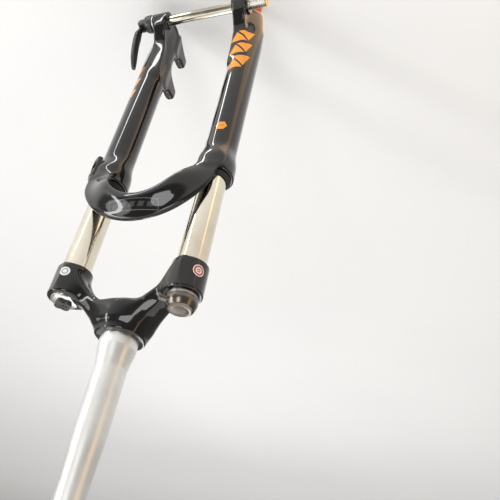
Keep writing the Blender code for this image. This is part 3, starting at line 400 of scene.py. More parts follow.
# %% [markdown]
# ## Metals
# All the metals share one recipe: a tint, a roughness that changes in patches where hands and oil have
# been, and fine lines left by the tool. Lines that run round a tube come from noise stretched thin along
# its axis, and the same noise gives a faint bump. Only the numbers differ between one metal and the next.

# %% Metal
def metal(
    name, dark, light, rough, lines=(1.0, 1.0, 1.0), line_scale=1800.0, depth=0.00001, haze=0.08, coat=0.0
):
    finish = Finish(name)
    where, _ = finish.place()
    cloud = finish.noise(where, 22.0, 4.0)
    fine = finish.noise(where, line_scale, 2.0, lines)
    smear = finish.noise(where, 55.0, 3.0, (1.0, 1.0, 0.25)).step(0.5, 0.72)
    colour = finish.mix(cloud.step(0.25, 0.75), dark, light)
    nick = finish.noise(where, 420.0, 2.0).step(0.70, 0.74) * cloud.step(0.5, 0.7)
    colour = finish.mix(nick * 0.5, colour, tuple(0.35 * c for c in dark))
    roughness = rough + haze * smear + 0.10 * (fine - 0.5) + 0.2 * nick
    return finish.finish(base_color=colour, metallic=1.0, roughness=roughness, coat_weight=coat,
                         coat_roughness=0.1, normal=finish.bump(fine, depth, 0.4))


ROUND_Z = (0.02, 0.02, 1.0)
ROUND_X = (1.0, 0.02, 0.02)
polished = metal(
    "polished_stanchion", (0.68, 0.62, 0.50), (0.84, 0.79, 0.68), 0.12, ROUND_Z, 2500.0, 0.000004, 0.10
)
satin = metal(
    "satin_steerer", (0.86, 0.86, 0.84), (0.95, 0.95, 0.93), 0.40, (1.0, 1.0, 0.03), 2600.0, 0.000008, 0.08
)
axle_metal = metal(
    "polished_axle", (0.48, 0.43, 0.34), (0.66, 0.62, 0.53), 0.13, ROUND_X, 2500.0, 0.000005, 0.10
)
silver = metal("turned_silver", (0.70, 0.69, 0.66), (0.86, 0.85, 0.81), 0.30, ROUND_Z, 1500.0)
steel = metal("plain_steel", (0.34, 0.33, 0.31), (0.48, 0.47, 0.45), 0.34, (1.0, 1.0, 1.0), 900.0)
bronze = metal(
    "bronze_anodising", (0.105, 0.088, 0.072), (0.20, 0.172, 0.145), 0.26, ROUND_Z, 1500.0, coat=0.4
)
gold = metal("gold_rim", (0.62, 0.36, 0.07), (0.88, 0.60, 0.16), 0.20, ROUND_X, 1500.0)
red_metal = metal(
    "red_anodising", (0.30, 0.008, 0.010), (0.52, 0.020, 0.020), 0.26, ROUND_Z, 1500.0, coat=0.5
)
bush_metal = metal("bush_lining", (0.22, 0.17, 0.10), (0.34, 0.27, 0.17), 0.50, ROUND_Z, 900.0)
print("metals ready")

# %% [markdown]
# ## Plastic and rubber
# Moulded plastic has a pebbled skin, and rubber is the same with less shine and paler, worn patches.

# %% Plastic and rubber
def moulded(name, dark, light, rough, grain, depth, coat=0.0):
    finish = Finish(name)
    where, _ = finish.place()
    cloud = finish.noise(where, 40.0, 4.0)
    pebble = finish.noise(where, grain, 3.0)
    dusty = finish.noise(where, 900.0, 2.0).step(0.62, 0.72) * cloud.step(0.5, 0.75)
    colour = finish.mix(cloud.step(0.3, 0.7), dark, light)
    colour = finish.mix(dusty * 0.4, colour, (0.25, 0.24, 0.22))
    return finish.finish(base_color=colour, roughness=rough + 0.12 * cloud + 0.2 * dusty, coat_weight=coat,
                         coat_roughness=0.15, normal=finish.bump(pebble, depth, 0.5))


plastic = moulded("black_plastic", (0.012, 0.012, 0.012), (0.030, 0.030, 0.031), 0.30, 2200.0, 0.00005, 0.3)
rubber = moulded("seal_rubber", (0.010, 0.010, 0.010), (0.024, 0.024, 0.023), 0.58, 1600.0, 0.00006)
print("plastics ready")

# %% [markdown]
# ## Cast shapes
# A casting has no sharp inside corners: every rib flows into the next in a fillet. A fillet between two
# grids is hard to build, but it is easy between two distances. So each casting is a function that says how
# far a point is from the metal, blended where two shapes meet, and the surface lies where it is zero.

# %% Distances to simple shapes
def smooth(value):
    value = np.clip(value, 0.0, 1.0)
    return value * value * (3 - 2 * value)


def joined(a, b, fillet):
    """The smaller of two distances, rounded over a fillet where they are close to each other."""
    share = np.clip(0.5 + 0.5 * (b - a) / fillet, 0, 1)
    return b + (a - b) * share - fillet * share * (1 - share)


def common(a, b, fillet):
    return -joined(-a, -b, fillet)


def extruded(flat, along, half, edge):
    """A flat distance carried to half each way along a direction, with its edges rounded."""
    wall, end = flat + edge, np.abs(along) - half + edge
    return np.minimum(np.maximum(wall, end), 0) + np.hypot(np.maximum(wall, 0), np.maximum(end, 0)) - edge


def eased(points, at):
    """A height that runs straight from each (place, height) to the next, with the corners rounded off."""
    places = np.linspace(points[0][0], points[-1][0], 401)
    straight = np.interp(places, *zip(*points))
    return np.interp(at, places, np.convolve(np.pad(straight, 35, "edge"), np.ones(71) / 71, "valid"))


def to_outline(u, v, outline):
    """Distance to a closed outline of straight sides, less than zero inside it."""
    outline = np.asarray(outline, float)
    nearest, sign = np.full(u.shape, 1e9), np.ones(u.shape)
    for (ax, ay), (bx, by) in zip(outline, np.roll(outline, 1, 0)):
        ex, ey, wx, wy = bx - ax, by - ay, u - ax, v - ay
        t = np.clip((wx * ex + wy * ey) / (ex * ex + ey * ey), 0, 1)
        nearest = np.minimum(nearest, (wx - ex * t) ** 2 + (wy - ey * t) ** 2)
        crossed = ((v >= ay) == (v < by)) & ((ex * wy > ey * wx) == (by > ay))
        sign = np.where(crossed, -sign, sign)
    return sign * np.sqrt(nearest)


# %% The surface where a distance is zero
def cast_surface(distance, low, high, step):
    """One point in each cell of a box of cells that the surface crosses, and a quad round each edge that
    it crosses. The points are evened out and then slid along the distance's slope until it is zero."""
    axes = [np.arange(a, b + step, step) for a, b in zip(low, high)]
    field = distance(*np.meshgrid(*axes, indexing="ij"))
    inside = field < 0
    corners = [inside[i:i - 1 or None, j:j - 1 or None, k:k - 1 or None]
               for i in (0, 1) for j in (0, 1) for k in (0, 1)]
    cells = np.any(corners, axis=0) & ~np.all(corners, axis=0)
    number = np.full(cells.shape, -1)
    number[cells] = np.arange(cells.sum())
    points = np.argwhere(cells) * step + np.array(low) + step / 2
    faces = []
    for axis in range(3):
        first, second = np.delete(np.arange(3), axis)
        before, after = [slice(None)] * 3, [slice(None)] * 3
        before[axis], after[axis] = slice(0, -1), slice(1, None)
        crossed = inside[tuple(before)] != inside[tuple(after)]
        where = np.argwhere(crossed)
        leaving = inside[tuple(before)][crossed]
        ring = []
        for a, b in ((-1, -1), (0, -1), (0, 0), (-1, 0)):
            cell = where.copy()
            cell[:, first] += a
            cell[:, second] += b
            ring.append(number[tuple(cell.T)])
        quads = np.stack(ring, -1)
        quads[leaving == (axis == 1)] = quads[leaving == (axis == 1)][:, ::-1]
        faces.append(quads)
    faces = np.concatenate(faces)
    print(f"cells crossed {len(points)}, faces {len(faces)}")
    starts, ends = faces.ravel(), np.roll(faces, -1, 1).ravel()
    count = np.bincount(starts, minlength=len(points)) + np.bincount(ends, minlength=len(points))
    for turn in range(6):
        if turn < 4:
            point_count = len(points)
            total = [
                np.bincount(starts, points[ends, k], point_count)
                + np.bincount(ends, points[starts, k], point_count)
                for k in range(3)
            ]
            points = 0.4 * points + 0.6 * np.stack(total, -1) / count[:, None]
        reach = 0.15 * MM
        slope = np.stack([
            (distance(*(points + reach * d).T) - distance(*(points - reach * d).T)) / (2 * reach)
            for d in np.eye(3)
        ], -1)
        steepness = np.maximum((slope**2).sum(1), 0.2)
        move = distance(*points.T) / steepness
        points = points - np.clip(move, -step, step)[:, None] * slope
    return points, faces


def drilled(made, *cutters):
    """Cuts closed surfaces out of a piece, so that their edges stay crisp."""
    for points, faces in cutters:
        mesh = bpy.data.meshes.new("drill")
        mesh.from_pydata(points.tolist(), [], faces.tolist())
        working = bmesh.new()
        working.from_mesh(mesh)
        bmesh.ops.remove_doubles(working, verts=working.verts, dist=1e-6)
        bmesh.ops.recalc_face_normals(working, faces=working.faces)
        working.to_mesh(mesh)
        working.free()
        drill = bpy.data.objects.new("drill", mesh)
        bpy.context.scene.collection.objects.link(drill)
        cut = made.modifiers.new("hole", "BOOLEAN")
        cut.operation, cut.solver, cut.object = "DIFFERENCE", "EXACT", drill
        view = bpy.context.evaluated_depsgraph_get()
        result = bpy.data.meshes.new_from_object(made.evaluated_get(view))
        made.modifiers.remove(cut)
        made.data = result
        bpy.data.objects.remove(drill)
    made.data.shade_smooth()
    made.data.set_sharp_from_angle(angle=math.radians(38))
    print(f"{made.name}: {len(made.data.polygons)} faces after drilling")
    return made


# %% [markdown]
# ## The crown
# The crown is a forging: a hub pressed on the steerer, a clamp round each stanchion, and an arm to each
# clamp with a ridge along its front edge and a pocket below that saves weight.

# %% Crown
HUB_BACK = 26.8 * MM


def crown_distance(x, y, z):
    share = np.abs(x) / HALF
    top = eased([(0, -1.5 * MM), (0.34, -4 * MM), (0.74, -33 * MM), (1, CLAMP_TOP - 2 * MM)], share)
    bottom = eased([(0, -29.5 * MM), (0.3, -32.5 * MM), (0.75, -58 * MM), (1, CLAMP_BOTTOM + 4 * MM)], share)
    half = eased([(0, 25 * MM), (0.3, 22.5 * MM), (0.6, 18 * MM), (1, CLAMP_RADIUS - 2.5 * MM)], share)
    middle = LEG_Y * share**1.5 - 1.0 * MM
    ridge = middle - 0.45 * half
    behind, before = y - ridge, ridge - y
    roof = common((z - top + 0.10 * behind), (z - top) * 0.62 + before * 0.78, 7 * MM)
    sides = common(middle - half - y, y - middle - half, 1 * MM)
    arm = common(common(roof, sides, 11 * MM), bottom - z, 7 * MM)
    arm = common(arm, np.abs(x) - 0.95 * HALF, 1 * MM)
    depth = eased([(0, 0), (0.36, 0), (0.5, 1), (0.62, 1), (0.78, 0), (1, 0)], share)
    pocket_top = (bottom - 2 * MM) * (1 - depth) + (top - 8 * MM) * depth
    pocket = common(sides + 5.5 * MM, z - pocket_top, 4 * MM)
    pocket = common(pocket, np.abs(share - 0.57) * HALF - 14 * MM, 4 * MM)
    arm = common(arm, -pocket, 1.5 * MM)
    round_hub = np.hypot(x, y) - 25.8 * MM - 1.4 * MM * smooth((-6 * MM - z) / (8 * MM))
    hub = extruded(round_hub, z + 15.5 * MM, 15.5 * MM, 1.0 * MM)
    lip = extruded(np.hypot(x, y) - 22.8 * MM, z + 2 * MM, 2.0 * MM, 0.5 * MM)
    round_clamp = np.hypot(np.abs(x) - HALF, y - LEG_Y) - CLAMP_RADIUS
    middle_z, half_z = (CLAMP_TOP + CLAMP_BOTTOM) / 2, (CLAMP_TOP - CLAMP_BOTTOM) / 2
    clamp = extruded(round_clamp, z - middle_z, half_z, 1.6 * MM)
    whole = joined(joined(arm, clamp, 12 * MM), hub, 13 * MM)
    whole = common(whole, y - HUB_BACK, 2 * MM)
    return np.minimum(whole, lip)


crown = piece(
    "crown_forging",
    cast_surface(crown_distance, (-94 * MM, -44 * MM, -78 * MM), (94 * MM, 32 * MM, 4 * MM), 1.2 * MM),
    crown_paint, "paint", "upper", "crown",
)
drilled(
    crown,
    turned(rod(20.2 * MM, -60 * MM, 30 * MM)),
    placed(turned(rod(STANCHION_RADIUS + 0.3 * MM, -100 * MM, CLAMP_TOP - 3 * MM)), SPRING_SIDE),
    placed(turned(rod(STANCHION_RADIUS + 0.3 * MM, -100 * MM, CLAMP_TOP - 3 * MM)), DAMPER_SIDE),
)

# %% [markdown]
# ## The steerer and the stanchions
# The steerer is a tapered alloy tube with a brushed skin, and the stanchions are ground and polished.
# Both are surfaces of revolution: an outline of radius and height carried round the axis.

# %% Tubes
steerer_outline = [
    (14.3 * MM, 255 * MM), (14.3 * MM, 145 * MM), (14.9 * MM, 130 * MM), (16.1 * MM, 108 * MM),
    (16.4 * MM, 95 * MM), (16.6 * MM, 34 * MM), (17.6 * MM, 26 * MM), (19.5 * MM, 14.5 * MM),
    (19.9 * MM, 12 * MM), (19.9 * MM, 0.6 * MM), (19.5 * MM, 0.2 * MM), (19.5 * MM, -31 * MM),
    (17.0 * MM, -31 * MM), (17.6 * MM, 10 * MM), (14.3 * MM, 34 * MM), (14.1 * MM, 95 * MM),
    (12.0 * MM, 145 * MM), (12.0 * MM, 255 * MM),
]
piece("steerer", turned(softened(steerer_outline, 1.0 * MM), 160), satin, "silver", "upper", "steerer_tube")
stanchion = turned(tube(14.2 * MM, STANCHION_RADIUS, -350.5 * MM, -38.6 * MM, 0.8 * MM), 160)
piece("stanchion_tube_left", placed(stanchion, SPRING_SIDE), polished, "polished", "upper", "stanchion_left")
piece(
    "stanchion_tube_right", placed(stanchion, DAMPER_SIDE), polished, "polished", "upper", "stanchion_right"
)

# %% [markdown]
# ## The lowers
# Two legs, the arch that ties them together over the tyre, the webs down to the axle and the brake's two
# posts are cast in one piece. Each is a distance of its own, and the fillets come from joining them.

# %% Lowers
def arch_distance(x, y, z):
    centre, inner_centre = ARCH_TOP - ARCH_RADIUS, ARCH_TOP - 100 * MM
    rise = (z - centre) / np.maximum(np.hypot(x, z - centre), 1 * MM)
    up = np.maximum(rise, 0)
    above = np.hypot(x, np.maximum(z - centre, 0)) - ARCH_RADIUS
    outer = above - 14 * MM * np.minimum(rise, 0)
    ellipse = np.hypot(x / (56 * MM), np.maximum(z - inner_centre, 0) / (72 * MM)) - 1
    inner = ellipse * 60 * MM
    depth = np.clip(-outer / np.maximum(inner - outer, 1 * MM), 0, 1)
    root = LEG_Y - LEG_RADIUS - 3.0 * MM
    back = LEG_Y - 4 * MM + (-41.8 * MM - LEG_Y + 4 * MM) * smooth((rise + 0.1) / 0.38)
    front_top = root + (-48.5 * MM - root) * smooth(up * 1.2)
    front_bottom = root + (-60.6 * MM - root) * smooth(up * 1.2)
    sunk = smooth((centre - 2 * MM - z) / (34 * MM))
    front = front_top + (front_bottom - front_top) * smooth(depth * 1.15) + 13 * MM * sunk
    band = common(outer + 6 * MM * sunk, -inner, 2 * MM)
    face = common(front - y, y - back, 2 * MM)
    edge = 3 * MM + 11 * MM * smooth((0.5 - rise) / 0.6)
    return common(common(band, face, edge), centre - 36 * MM - z, 6 * MM)


LEG_PROFILE = np.array([
    (-531, 10.2), (-530, 10.5), (-525, 12.9), (-506, 15.9), (-484, 18.4), (-452, 19.6), (-241, 19.6),
    (-233, 20.5), (-223, 22.6), (-218, 23.4), (-198, 23.4),
]) * MM
LEG_HEIGHTS = np.linspace(-531 * MM, -198 * MM, 700)
sharp_widths = np.pad(np.interp(LEG_HEIGHTS, *LEG_PROFILE.T), 12, "edge")
LEG_WIDTHS = np.convolve(sharp_widths, np.ones(25) / 25, "valid")


def cut_corners(outline, times):
    """Rounds an outline: each turn puts two points, a quarter in from each end, on every side."""
    points = np.array(outline) * MM
    for turn in range(times):
        ahead = np.roll(points, -1, 0)
        points = np.stack([0.75 * points + 0.25 * ahead, 0.25 * points + 0.75 * ahead], 1).reshape(-1, 2)
    return points


TABLE_STEP = 0.5 * MM
TABLE_Y, TABLE_Z = np.arange(-80 * MM, 40 * MM, TABLE_STEP), np.arange(-545 * MM, -385 * MM, TABLE_STEP)


def tabled(outline):
    """Works out the distance to an outline once, on a grid, and returns a function that looks it up."""
    table = to_outline(*np.meshgrid(TABLE_Y, TABLE_Z, indexing="ij"), outline)

    def look_up(y, z):
        row = np.clip((y - TABLE_Y[0]) / TABLE_STEP, 0, len(TABLE_Y) - 2.001)
        column = np.clip((z - TABLE_Z[0]) / TABLE_STEP, 0, len(TABLE_Z) - 2.001)
        i, j = row.astype(int), column.astype(int)
        s, t = row - i, column - j
        near = table[i, j] * (1 - t) + table[i, j + 1] * t
        return near * (1 - s) + (table[i + 1, j] * (1 - t) + table[i + 1, j + 1] * t) * s

    return look_up


web_distance = tabled(cut_corners([
    (-54, -521), (-23, -528), (-12, -503), (-19, -408), (-34, -402), (-37.5, -440), (-43, -470),
    (-60, -488), (-66, -507),
], 3))
post_distances = [
    tabled(cut_corners([
        (-19.2, middle - 32), (-8, middle - 22), (11, middle - 11), (19, middle - 9), (20, middle + 7),
        (14, middle + 11), (-1, middle + 10), (-5, middle + 18), (-19.2, middle + 17),
    ], 2)) for middle in (-421.5, -495.5)
]


def lowers_distance(x, y, z):
    side = np.abs(x)
    round_leg = np.hypot(side - HALF, y - LEG_Y) - np.interp(z, LEG_HEIGHTS, LEG_WIDTHS)
    leg = extruded(round_leg, z - (LEG_TOP + LEG_FOOT) / 2, (LEG_TOP - LEG_FOOT) / 2, 1.8 * MM)
    web = web_distance(y, z)
    thin = extruded(web + 2.5 * MM, side - 62.4 * MM, 7.5 * MM, 3.5 * MM)
    rib = extruded(common(web, -(web + 4.0 * MM), 0.5 * MM), side - 62.4 * MM, 9.0 * MM, 1.8 * MM)
    web = joined(thin, rib, 4 * MM)
    ring = np.hypot(y - AXLE_Y, z - AXLE_Z) - 12.7 * MM
    boss = extruded(ring, side - 62.4 * MM, 12 * MM, 0.9 * MM)
    groove = np.maximum(np.abs(side - 70.5 * MM) - 0.7 * MM, -(ring + 1.0 * MM))
    boss = common(boss, -groove, 0.4 * MM)
    whole = joined(leg, web, 9 * MM)
    whole = joined(whole, boss, 2.5 * MM)
    whole = joined(whole, arch_distance(x, y, z), 9 * MM)
    for post_distance in post_distances:
        whole = joined(whole, extruded(post_distance(y, z), x - 57 * MM, 6 * MM, 4 * MM), 6 * MM)
    return whole


lowers = piece(
    "lowers_casting",
    cast_surface(lowers_distance, (-96 * MM, -70 * MM, -534 * MM), (96 * MM, 24 * MM, -118 * MM), 1.45 * MM),
    lowers_paint, "paint", "lowers", "lower_casting",
)
bore = turned(rod(19.5 * MM, LEG_TOP - 8 * MM, LEG_TOP + 20 * MM, 0.2 * MM))
deep_bore = turned(rod(17.3 * MM, -478 * MM, LEG_TOP - 4 * MM, 0.2 * MM))
axle_bore = placed(turned(rod(7.8 * MM, -90 * MM, 90 * MM)), (0, AXLE_Y, AXLE_Z), ALONG_X)
post_hole = turned(rod(2.6 * MM, 3 * MM, 30 * MM), 48)
post_holes = [placed(post_hole, (57 * MM, 0, z * MM), ALONG_Y) for z in (-421.5, -495.5)]
leg_bores = [placed(b, at) for at in (SPRING_SIDE, DAMPER_SIDE) for b in (bore, deep_bore)]
drilled(lowers, *leg_bores, axle_bore, *post_holes)

# %% [markdown]
# ## Seals, caps and knobs
# A wiper seal stands on each leg. The spring leg's cap is a hexagon nut with a lobed knob, and the
# damper's is a round lever. A nut's chamfer is a cone that meets a hexagon, so its radius at each angle
# and height is the smaller of the two.

# %% Wiper seals
seal_outline = softened([
    (16.3 * MM, -206.7 * MM), (19.3 * MM, -206.7 * MM), (19.3 * MM, -198.2 * MM), (20.5 * MM, -198.2 * MM),
    (20.5 * MM, -196.4 * MM), (19.4 * MM, -195.6 * MM), (18.6 * MM, -194.2 * MM), (17.3 * MM, -193.0 * MM),
    (16.3 * MM, -193.0 * MM),
], 0.5 * MM)
for side, at in (("left", SPRING_SIDE), ("right", DAMPER_SIDE)):
    seal = placed(turned(seal_outline, 144), at)
    piece(f"dust_wiper_{side}", seal, rubber, "rubber", "lowers", f"wiper_seal_{side}")


# %% A hexagon nut with chamfered corners
def nut(corner, bottom, top, chamfer, columns=144):
    """Radius = smaller of the hexagon's, flat / cos(angle from the nearest flat's middle), and a cone's."""
    angle = np.arange(columns) * TAU / columns
    flat = corner * math.cos(math.pi / 6)
    hexagon_radius = flat / np.cos((angle + math.pi / 6) % (math.pi / 3) - math.pi / 6)
    rise = np.array([0, 0, 0.12, 0.3, 0.6, 1, 1]) * chamfer
    heights = np.concatenate([bottom + rise, (top - rise)[::-1]])
    cone = np.concatenate([flat * 0.93 + rise * 1.4, (flat * 0.93 + rise * 1.4)[::-1]])
    radius = np.minimum(hexagon_radius, cone[:, None])
    radius[0] = radius[-1] = 0
    height = np.broadcast_to(heights[:, None], radius.shape)
    points = np.stack([radius * np.cos(angle), radius * np.sin(angle), height], -1).reshape(-1, 3)
    return points, grid_faces(len(heights), columns)


CAP_BOTTOM = CLAMP_TOP + 0.3 * MM
CAP_TOP = CAP_BOTTOM + 3.8 * MM
spring_nut = nut(16.0 * MM, CAP_BOTTOM, CAP_TOP, 1.5 * MM)
collar = turned(rod(15.2 * MM, CAP_BOTTOM - 1.5 * MM, CAP_BOTTOM + 0.8 * MM))
spring_cap = placed(merged(spring_nut, collar), SPRING_SIDE)
piece("spring_cap_nut", spring_cap, silver, "silver", "upper", "spring_top_cap")

# %% Preload knob
knob_outline = softened([
    (0, CAP_TOP + 0.4 * MM), (9.6 * MM, CAP_TOP + 0.4 * MM), (10.3 * MM, CAP_TOP + 1.2 * MM),
    (10.2 * MM, CAP_TOP + 3.6 * MM), (9.0 * MM, CAP_TOP + 4.6 * MM), (5.6 * MM, CAP_TOP + 4.7 * MM),
    (4.6 * MM, CAP_TOP + 3.3 * MM), (0, CAP_TOP + 3.0 * MM),
], 0.6 * MM, closed=False)
lobes = turned(knob_outline, 192, lambda a: 1 - 0.27 * (0.5 - 0.5 * np.cos(4 * a)) ** 1.5)
arrow_bar = turned(rod(1.6 * MM, CAP_TOP + 2.6 * MM, CAP_TOP + 4.4 * MM), 48)
knob = placed(merged(lobes, arrow_bar), SPRING_SIDE)
piece("spring_knob", knob, plastic, "black", "preload_knob", "preload_knob")

# %% Lockout lever
LEVER_BASE = CAP_BOTTOM + 4.3 * MM
LEVER_TURN = Matrix.Rotation(math.radians(-44), 4, "Z")
cap_outline = softened([
    (0, LEVER_BASE), (16.4 * MM, LEVER_BASE), (16.8 * MM, LEVER_BASE + 1.0 * MM),
    (16.8 * MM, LEVER_BASE + 4.6 * MM), (16.1 * MM, LEVER_BASE + 7.2 * MM),
    (14.3 * MM, LEVER_BASE + 11.5 * MM), (12.2 * MM, LEVER_BASE + 13.2 * MM),
    (9.0 * MM, LEVER_BASE + 13.4 * MM), (8.2 * MM, LEVER_BASE + 12.6 * MM), (0, LEVER_BASE + 12.4 * MM),
], 1.0 * MM, closed=False)


def pointer_bar():
    """A bar along +X whose width and height shrink towards its round tip: each cross-section is a
    rounded square, (w cos^0.6, h sin^0.6)."""
    along = np.concatenate([[0.0], np.linspace(0, 1, 24), [1.0]])[:, None]
    around = (np.arange(48) * TAU / 48)[None, :]
    width = (7.4 - 4.0 * smooth(along * 1.1)) * MM
    height = (3.4 - 0.9 * along) * MM
    fade = np.ones_like(along)
    fade[0] = fade[-1] = 0

    def squared(value):
        return np.sign(value) * np.abs(value) ** 0.6

    y = fade * width * squared(np.cos(around))
    z = fade * height * squared(np.sin(around)) + LEVER_BASE + 5.6 * MM
    x = np.broadcast_to(2 * MM + 20.0 * MM * along, y.shape)
    return np.stack([x, y, z], -1).reshape(-1, 3), grid_faces(26, 48)


damper_collar = turned(softened([
    (0, CAP_BOTTOM), (15.6 * MM, CAP_BOTTOM), (16.0 * MM, CAP_BOTTOM + 0.5 * MM),
    (16.0 * MM, CAP_BOTTOM + 3.8 * MM), (0, CAP_BOTTOM + 3.9 * MM),
], 0.4 * MM, closed=False))
piece("damper_collar", placed(damper_collar, DAMPER_SIDE), steel, "steel", "upper", "damper_top_cap")
EYE_AT = (22.4 * MM, 0, LEVER_BASE + 5.6 * MM)
eye_outline = softened([
    (2.1 * MM, -1.5 * MM), (3.6 * MM, -1.5 * MM), (3.6 * MM, 1.5 * MM), (2.1 * MM, 1.5 * MM),
], 0.5 * MM)
eye = placed(turned(eye_outline, 64), EYE_AT, ALONG_X)
ball = placed(turned(rod(2.15 * MM, -1.3 * MM, 0.2 * MM, 0.3 * MM), 48), EYE_AT, ALONG_X)
mark = placed(turned(rod(1.7 * MM, 0, 1.1 * MM, 0.4 * MM), 48), (-8.5 * MM, 2.0 * MM, LEVER_BASE + 12.2 * MM))
pointer = placed(merged(pointer_bar(), eye, ball, mark), turn=LEVER_TURN)
lever_parts = merged(turned(cap_outline, 160), pointer)
piece("lockout_cap", placed(lever_parts, DAMPER_SIDE), bronze, "bronze", "lockout_lever", "lockout_lever")

# %% Rebound knob and foot fasteners
FOOT_NUT_TOP = LEG_FOOT - 0.3 * MM
rebound_top = FOOT_NUT_TOP - 5.3 * MM
rebound_outline = softened([
    (0, rebound_top - 19 * MM), (4.6 * MM, rebound_top - 19 * MM), (5.7 * MM, rebound_top - 18 * MM),
    (6.2 * MM, rebound_top - 15.5 * MM), (6.2 * MM, rebound_top - 4 * MM),
    (5.4 * MM, rebound_top - 3.2 * MM), (5.4 * MM, rebound_top), (0, rebound_top),
], 0.5 * MM, closed=False)
ribs = turned(rebound_outline, 160, lambda a: 1 - 0.07 * (0.5 + 0.5 * np.cos(20 * a)) ** 2)
piece("rebound_dial", placed(ribs, DAMPER_SIDE), red_metal, "red", "rebound_knob", "rebound_knob")
foot_nut = nut(7.0 * MM, FOOT_NUT_TOP - 5 * MM, FOOT_NUT_TOP, 0.9 * MM)
shank = turned(rod(4.0 * MM, -535 * MM, -460 * MM), 48)
foot = merged(foot_nut, shank)
piece("foot_bolt", placed(foot, SPRING_SIDE), steel, "steel", "lowers", "spring_foot_bolt")
piece("foot_nut", placed(foot, DAMPER_SIDE), steel, "steel", "lowers", "damper_foot_nut")

# %% [markdown]
# ## The through axle
# The axle slides in from the left. Its ringed end sleeve grips the right dropout, and a lever with a cam
# pulls a rod inside it tight. All of it is turned, apart from the lever's cheeks and its blade.

# %% Axle
AXLE_AT = (0, AXLE_Y, AXLE_Z)
AXLE_END, TIP = -75.9 * MM, -100.4 * MM
sleeve_end = TIP + 1.4 * MM
axle_skin = turned(tube(4.5 * MM, 7.5 * MM, AXLE_END, 77.1 * MM, 0.4 * MM))
piece("axle_rod", placed(axle_skin, AXLE_AT, ALONG_X), axle_metal, "polished", "axle", "axle_tube")
along = np.linspace(sleeve_end + 0.2 * MM, AXLE_END - 0.5 * MM, 150)
ring_count = 6
phase = ((along - sleeve_end) / (AXLE_END - sleeve_end) * ring_count) % 1
ringed = 7.5 * MM - 0.5 * MM * smooth((phase - 0.60) / 0.12) * (1 - smooth((phase - 0.86) / 0.12))
sleeve_bore = [(4.5 * MM, along[-1]), (4.5 * MM, along[0])]
sleeve_outline = np.concatenate([np.stack([ringed, along], -1), sleeve_bore])
sleeve = placed(turned(sleeve_outline), AXLE_AT, ALONG_X)
piece("axle_sleeve", sleeve, silver, "silver", "axle", "axle_end_sleeve")
washer = turned(tube(7.8 * MM, 12.0 * MM, 74.7 * MM, 77.1 * MM, 0.5 * MM))
piece("axle_flat_washer", placed(washer, AXLE_AT, ALONG_X), steel, "steel", "axle", "axle_washer")
tip = turned(softened([
    (0, TIP + 0.5 * MM), (5.6 * MM, TIP + 0.5 * MM), (6.2 * MM, TIP), (7.3 * MM, TIP + 0.2 * MM),
    (7.5 * MM, TIP + 0.6 * MM), (7.5 * MM, TIP + 1.1 * MM), (3.0 * MM, TIP + 1.1 * MM),
    (3.0 * MM, 90.4 * MM), (0, 90.4 * MM),
], 0.2 * MM, closed=False))
piece("axle_gold_tip", placed(tip, AXLE_AT, ALONG_X), gold, "steel", "pull_rod", "axle_pull_rod")

# %% Lever head
cup = turned(softened([
    (3.3 * MM, 77.5 * MM), (11.6 * MM, 77.5 * MM), (12.9 * MM, 78.6 * MM),
    (13.0 * MM, 85.4 * MM), (11.8 * MM, 88.9 * MM), (3.3 * MM, 88.9 * MM),
], 1.0 * MM))


def cheek(side):
    """A plate beside the pin: its outline in (x, z) is a rounded bar, carried across its thickness."""
    angle = np.arange(96) * TAU / 96
    edge_x = 94.0 * MM + 7.8 * MM * np.sign(np.cos(angle)) * np.abs(np.cos(angle)) ** 0.55
    edge_z = 6.4 * MM * np.sign(np.sin(angle)) * np.abs(np.sin(angle)) ** 0.7
    shrink = np.array([0.0, 0.90, 0.97, 1.0, 1.0, 0.97, 0.90, 0.0])[:, None]
    depth = (np.array([4.1, 4.1, 4.3, 4.6, 7.0, 7.3, 7.5, 7.5]) * side * MM)[:, None]
    x = 94.0 * MM + (edge_x - 94.0 * MM) * shrink
    z = edge_z * shrink
    return np.stack([x, np.broadcast_to(depth, x.shape), z], -1).reshape(-1, 3), grid_faces(8, 96)


head = merged(placed(cup, turn=ALONG_X), cheek(1), cheek(-1))
piece("lever_head_cup", placed(head, AXLE_AT), plastic, "black", "lever_head", "lever_housing")
PIN_AT = (97.0 * MM, AXLE_Y, AXLE_Z)
pin_outline = softened([
    (0, -7.6 * MM), (1.4 * MM, -7.2 * MM), (2.6 * MM, -7.6 * MM),
    (2.7 * MM, 7.4 * MM), (1.4 * MM, 7.2 * MM), (0, 7.6 * MM),
], 0.3 * MM, closed=False)
pin = placed(turned(pin_outline, 64), PIN_AT, ALONG_Y)
piece("lever_pin", pin, steel, "steel", "lever_head", "lever_pivot_pin")


